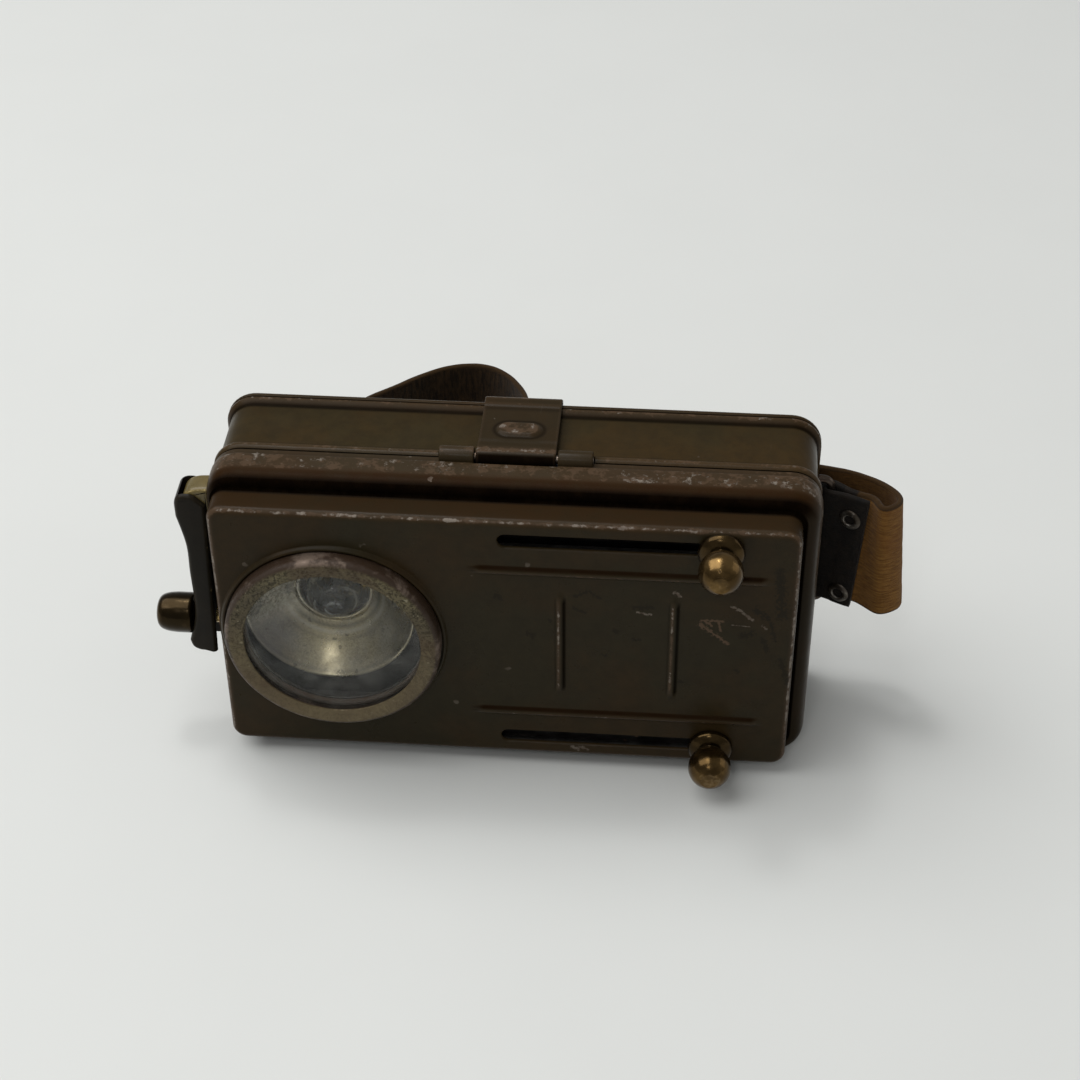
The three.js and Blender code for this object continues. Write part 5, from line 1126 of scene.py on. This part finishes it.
def leverHood():
    # a slab, hollowed out from the case's side, with a hole for the contact screw
    v = lever
    rounding = v["top"] - v["pinZ"]
    head = rounded([(-v["rootTop"], v["top"] - v["slant"]), (-v["rootTop"] - v["slant"], v["top"]),
                    (-v["head"] + rounding / 4, v["top"]), (-v["head"], v["top"] - rounding / 4),
                    tuple(leverSide(0)[0])], (0, 1.0, 1.6, 1.6, 0), 6)
    foot = rounded([tuple(leverSide(0)[-1]), (-v["flare"] + 0.35, v["bottom"] + 0.9),
                    (-v["flare"] + 1.9, v["bottom"]), (-v["rootBottom"], v["bottom"])], (0, 0.8, 0.8, 0), 5)
    outline = np.concatenate([head[:-1], leverSide(0), foot[1:]])
    outline = outline[np.concatenate([[True], np.linalg.norm(np.diff(outline, axis=0), axis=1) > 1e-4])]
    body = slabObject("lever_hood", outline, v["depth"] / 2, 0.95, leverAt, 6)
    inside = np.concatenate([
        [(1.0, v["top"] + 2), (-v["head"] + v["sheet"], v["top"] + 2)], leverSide(v["sheet"]),
        [(-v["flare"] + v["sheet"], v["bottom"] - 2), (1.0, v["bottom"] - 2)]])
    room = slabObject("leverRoom", inside, v["depth"] / 2 - v["sheet"], 0.5, leverAt, 3)
    screw = turnedObject("screwHole", discProfile(1.7, -8, -3, 0), (1, 0, 0), buttonAt, 32)
    return cutAway(body, room, screw)


dress(leverHood(), "lever", "lever_paint", "signal_lever")
v = lever
lobe = v["baseTop"] - v["pinZ"]
outline = rounded([
    (0.6, v["baseBottom"]), (0.6, v["baseTop"] - 0.1), (-v["crownOut"] + lobe / 3, v["baseTop"] - 0.3),
    (-v["crownOut"], v["baseTop"] - lobe / 3 - 0.3), (-v["baseOut"] - 0.4, v["pinZ"] + 1.0),
    (-v["baseOut"], v["pinZ"] - lobe / 2), (-v["plate"] - 0.2, v["baseBottom"] + v["plate"]),
    (-v["plate"] - 0.2, v["baseBottom"])], (0, 0.8, 2.0, 1.6, 1.0, 0.8, 0.5, 0), 6, True)
plateHalf = v["depth"] / 2 - v["sheet"] - 0.15
dress(slabObject("switch_plate", outline, plateHalf, 0.9, leverAt),
      "lamp_case", "switch_brass", "switch_base")
profile = rounded([(0, -13.6), (2.0, -13.57), (3.35, -13.0), (3.95, -11.4), (4.12, -9.4), (4.12, -6.6),
                   (3.8, -6.1), (2.3, -6.05), (2.2, -5.75), (1.4, -5.6), (1.4, -3.7), (0.7, -3.0), (0, -3.0)],
                  (0, 0.8, 0.9, 1.0, 0.5, 0.4, 0.3, 0.2, 0.2, 0.1, 0.2, 0.2, 0), 5)
# the button is darker all over and most at its outer end, for tarnish and for painted shade
dress(turnedObject("contact_button", profile, (1, 0, 0), buttonAt, 72, {
    "wearAndSheen": np.where(profile[:, 0] > 3.2, 0.6, 0.2),
    "dirtAndShade": smoothstep(profile[:, 1], -13.6, -11.8) * 0.35 + 0.6}),
    "knob", "knob_brass", "contact_knob")
pinHalf = v["depth"] / 2 - 0.35
dress(turnedObject("hood_pin", discProfile(0.8, -pinHalf, pinHalf, 0.2, 4), (0, 1, 0),
                   (wall - v["pinOut"], v["y"], v["pinZ"]), 24), "lamp_case", "fastener_steel", "lever_pin")
print("switch made")

# strap, its wires and eyelets
strap = {"width": 27.5, "middle": 4.0, "thick": 1.5, "layerGap": 0.3, "wire": 0.8, "wireGap": 0.15,
         "rightWire": (61.35, 31.0), "rightAngle": -25.5, "leftWire": (-48.3, 36.55), "leftAngle": 56.0,
         "reach": 8.8, "settle": 3.8, "loopReach": 18.6, "loopDepth": 11.0, "loopLead": 14.3,
         "archHeight": 33.4, "dark": 19.5, "eyeletReach": 5.6, "eyeletSpread": 9.5, "eyeletDrop": -1.0,
         "free": (20, 32), "leanTilt": 0.9, "leanShift": -1.1, "eyeletLean": 0.7}
loopShares = [(0.7, 0.48), (0.84, 0.58), (0.9, 0.76), (0.86, 0.98), (0.72, 1.2), (0.48, 1.36), (0.14, 1.42)]
archShares = [(0.87, 0.08), (0.7, 0.07), (0.5, 0.08), (0.33, 0.12), (0.17, 0.2), (0.06, 0.34),
              (-0.003, 0.52), (-0.034, 0.72), (-0.088, 0.885), (-0.162, 0.985), (-0.26, 1.0),
              (-0.38, 0.925), (-0.5, 0.75), (-0.61, 0.56)]


def foldedEnd(end, side):
    # the free tip outside, round the wire, and back along the inside
    s = strap
    wireAt, angle = np.array(s[end + "Wire"]), math.radians(s[end + "Angle"])
    along = np.array([math.cos(angle), math.sin(angle)])
    outward = np.array([along[1], -along[0]]) * side
    layer = (s["thick"] + s["layerGap"]) / 2
    radius = s["wire"] + s["wireGap"] + s["thick"] / 2
    reaches = (s["reach"], (s["reach"] + s["settle"]) / 2, s["settle"])
    turn = angle - side * quarter - side * np.linspace(0, math.pi, 13)
    bend = wireAt + radius * np.stack([np.cos(turn), np.sin(turn)], 1)
    outer = [wireAt + along * r + outward * layer for r in reaches]
    inner = [wireAt + along * r - outward * layer for r in reaches[::-1]]
    return np.concatenate([outer, bend, inner]), along, outward


rightEnd, rightAlong, rightOut = foldedEnd("right", 1)
leftEnd, leftAlong, leftOut = foldedEnd("left", -1)


def strapLine():
    # right end, loop behind the case's right side, arch over the back, left end
    s = strap
    halfLength, depth = case["shoulder"][0], case["depth"]
    loop = [(halfLength + s["loopReach"] * x, depth - s["loopLead"] + s["loopDepth"] * y)
            for x, y in loopShares]
    arch = [(halfLength * x, depth + s["archHeight"] * y) for x, y in archShares]
    middle = splineLine(np.concatenate([rightEnd[-2:], loop, arch, leftEnd[-2:][::-1]]), 420)
    return evenLine(np.concatenate([rightEnd[:-2], middle, leftEnd[:-2][::-1]]), 0.5)


def strapBand():
    # a rounded flat section carried along the line, with wavy edges, a soft pull and a grain
    s = strap
    line = strapLine()
    ahead = np.gradient(line, axis=0)
    ahead = ahead + np.roll(ahead, 1, 0) + np.roll(ahead, -1, 0)
    ahead[0], ahead[-1] = ahead[1], ahead[-2]
    ahead = unit(ahead)
    side = np.stack([-ahead[:, 1], ahead[:, 0]], 1)
    length = runLength(line)
    # the section: outer face, edge, inner face, edge, with so many points each
    halfWide, halfThick, edge, counts = s["width"] / 2, s["thick"] / 2, 0.6, (31, 7, 31, 7)
    flat = np.linspace(-1, 1, counts[0]) * (halfWide - edge)
    bend = np.linspace(-quarter, quarter, counts[1])
    rim = halfWide - edge + edge * np.cos(bend)
    sectionZ = np.concatenate([flat, rim, flat[::-1], -rim])
    near = np.ones_like(flat)
    sectionT = halfThick * np.concatenate([-near, np.sin(bend), near, -np.sin(bend)])
    isEdge, isOuter = np.repeat([0.0, 1.0, 0.0, 1.0], counts), np.repeat([1.0, 0.5, 0.0, 0.5], counts)
    free = smoothstep(length, *s["free"]) * smoothstep(length[-1] - length, *s["free"])
    edgeWave = 0.25 * np.sin(length / 9.0) + 0.16 * np.sin(length / 3.7 + 1)
    z = sectionZ + s["middle"] + free[:, None] * (edgeWave[:, None] * np.sign(sectionZ) * isEdge)
    # the folded end leans one way and the loop the other, and the strap climbs as it goes behind the case
    wireLength = s["reach"] + quarter * (s["wire"] + s["wireGap"] + s["thick"] / 2)
    lean = smoothstep(np.abs(length - wireLength), 2.0, 8.6) * smoothstep(length, 27.0, 20.0)
    swing = smoothstep(length, 23.0, 31.0) * smoothstep(length, 52.0, 38.0)
    level = (sectionZ / halfWide)[None]
    leaning = s["leanTilt"] * level + s["leanShift"]
    sway = lean[:, None] * leaning + swing[:, None] * (0.45 - 1.15 * level)
    z = z + (1.5 * smoothstep(length, 33.0, 52.0) * smoothstep(length, 96.0, 62.0))[:, None]
    points3 = np.stack([np.broadcast_to(line[:, :1], z.shape), np.broadcast_to(line[:, 1:], z.shape), z], -1)
    grain = 0.05 * wave(points3, 7, 0.4) + 0.035 * wave(points3, 2.9, 2.2)
    slim = 1 - 0.22 * free[:, None]
    offset = sectionT[None] * slim * (1 + 0.06 * wave(points3, 21, 1.1)) + grain * free[:, None]
    tip = np.minimum(length, length[-1] - length)
    thin = 0.72 + 0.28 * smoothstep(tip, 0, 1.2)
    place = line[:, None] + side[:, None] * (offset * thin[:, None])[..., None]
    place = place + np.stack([sway, np.zeros_like(sway)], -1)
    grid = np.concatenate([place, z[..., None]], -1)
    dark = smoothstep(tip, s["dark"] + 2, s["dark"] - 1)
    pale = smoothstep(length, 62.0, 40.0)[:, None] * (1 - isOuter) * 0.6
    attributes = {"outer": isOuter + pale, "edge": isEdge[None], "dark": dark[:, None],
                  "lengthAt": length[:, None] * mm, "widthAt": z * mm}
    return gridObject("strap_band", grid, angle=50, attributes={
        label: np.broadcast_to(values, z.shape) for label, values in attributes.items()})


band = strapBand()
corner = np.zeros(len(band.data.loops), np.int32)
band.data.loops.foreach_get("vertex_index", corner)
pair = []
for label in ("lengthAt", "widthAt"):
    values = np.zeros(len(band.data.vertices), np.float32)
    band.data.attributes[label].data.foreach_get("value", values)
    pair.append(values[corner])
    band.data.attributes.remove(band.data.attributes[label])
band.data.uv_layers.new(name="lengthways").data.foreach_set("uv", np.stack(pair, 1).ravel())
dress(band, "back", "strap_leather", "strap")


def caseBox(cadName):
    return (np.array(v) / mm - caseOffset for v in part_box(cadName))


def wireLoop(side, k):
    # two feet out of the wall, a bend at each end and a straight bar; k is the axis that it stands out along
    low, high = caseBox(f"{side}_strap_wire")
    radius = strap["wire"]
    middleZ, halfZ = (low[2] + high[2]) / 2, (high[2] - low[2]) / 2 - radius
    start, end = low[k], high[k] - radius
    flat = rounded([(start, -halfZ), (end, -halfZ), (end, halfZ), (start, halfZ)], (0, 2.2, 2.2, 0), 9)
    line = np.zeros((len(flat), 3))
    line[:, k], line[:, 1 - k], line[:, 2] = flat[:, 0], (low[1 - k] + high[1 - k]) / 2, flat[:, 1] + middleZ
    dress(tubeObject(f"{side}_wire", line, radius, 20, 60), "back", "wire_steel", f"{side}_strap_wire")


wireLoop("right", 0)
wireLoop("left", 1)
# half of an eyelet's profile with its rounding, mirrored to the other face
eyeletHalf = [(1.05, 2.1, 0.2), (1.3, 2.32, 0.25), (1.95, 2.2, 0.3), (2.3, 1.85, 0.1), (1.35, 1.85, 0)]
eyeletLine = [(r, -h, bend) for r, h, bend in eyeletHalf] + eyeletHalf[::-1]
profile = ringProfile([point[:2] for point in eyeletLine], [point[2] for point in eyeletLine], 4)
for end, along, out in (("right", rightAlong, rightOut), ("left", leftAlong, leftOut)):
    x, y = np.add(strap[end + "Wire"], along * strap["eyeletReach"])
    for number, side in ((1, 1), (2, -1)):
        aside = side * strap["eyeletSpread"]
        leaning = strap["leanTilt"] * aside / (strap["width"] / 2) + strap["leanShift"]
        leaned = leaning * strap["eyeletLean"] if end == "right" else 0
        place = (x + leaned, y, strap["middle"] + strap["eyeletDrop"] + aside)
        dress(turnedObject(f"{end}_ring_{number}", profile, (*out, 0), place, 40, {
            "wearAndSheen": np.where(np.abs(profile[:, 1]) > 2.0, 0.6, 0.1)}, 50),
            "back", "eyelet_steel", f"{end}_eyelet_{number}")

rivet = {"dome": 1.4, "high": 0.6, "head": 1.7, "pin": 0.9}
turn = np.linspace(0, quarter, 8)
for label in ("leaf_rivet_1", "leaf_rivet_2", "spring_rivet_1", "spring_rivet_2"):
    # a low dome outside on a pin, with a flat head inside
    low, high = caseBox(label)
    foot, head = low[1], high[1] - rivet["high"]
    profile = np.array([(0, foot), (rivet["head"] - 0.1, foot), (rivet["head"], foot + 0.15),
                        (rivet["head"], foot + rivet["high"]), (rivet["pin"], foot + rivet["high"]),
                        (rivet["pin"], head),
                        *zip(rivet["dome"] * np.cos(turn), head + rivet["high"] * np.sin(turn))])
    place = ((low[0] + high[0]) / 2, 0, (low[2] + high[2]) / 2)
    dress(turnedObject(label.replace("_rivet", "_stud"), profile, (0, 1, 0), place, 32, {
        "wearAndSheen": np.where(profile[:, 1] > head, 0.6, 0.0)}), "back", "fastener_steel", label)
print("strap made")

# stage, light and camera
floorTone = (0.665, 0.675, 0.655)
bpy.ops.mesh.primitive_plane_add(size=6, location=(0, 0, 0))
floor = bpy.context.object
floor.name = "floor"
floorLook, shader, place = newMaterial("floorLook")
tone = span(noise(place, 14.0), 0.3, 0.7)
put(shader["Base Color"], mix(tone, floorTone, tuple(np.multiply(floorTone, 0.985))))
put(shader["Roughness"], 0.55)
put(shader["Specular IOR Level"], 0.25)
floor.data.materials.append(floorLook)

world = bpy.data.worlds.new("studio")
world.use_nodes = True
backdrop = world.node_tree.nodes["Background"]
put(backdrop.inputs["Color"], (0.98, 0.985, 0.98))
put(backdrop.inputs["Strength"], 0.30)
bpy.context.scene.world = world

# power, place and size of each square light
lights = {"softbox": (14.5, (-0.56, 0.06, 1.1), 1.25), "key": (1.6, (-0.22, 0.30, 1.2), 0.16),
          "front": (1.3, (-0.12, -0.86, 0.98), 0.2), "side": (0.6, (0.80, 0.16, 0.30), 0.5)}
for label, (power, place, size) in lights.items():
    lampData = bpy.data.lights.new(label, "AREA")
    lampData.energy = power
    lampData.size = size
    hung = bpy.data.objects.new(label, lampData)
    hung.location = place
    hung.rotation_euler = (-Vector(place)).to_track_quat("-Z", "Y").to_euler()
    bpy.context.scene.collection.objects.link(hung)

view = {"place": (0.032676, -0.330601, 0.323536), "right": (0.996877, 0.078667, -0.006862),
        "up": (-0.044828, 0.635314, 0.770952), "ahead": (-0.065008, 0.768237, -0.636857), "lens": 74.194,
        "shift": 0.0014}
cameraData = bpy.data.cameras.new("camera")
cameraData.lens = view["lens"]
cameraData.sensor_width = 36
cameraData.shift_x = view["shift"]
camera = bpy.data.objects.new("camera", cameraData)
turned = Matrix([view["right"], view["up"], tuple(-a for a in view["ahead"])]).transposed().to_4x4()
camera.matrix_world = Matrix.Translation(view["place"]) @ turned
bpy.context.scene.collection.objects.link(camera)
bpy.context.scene.camera = camera
bpy.context.scene.view_settings.view_transform = "Standard"

print("scene ready")
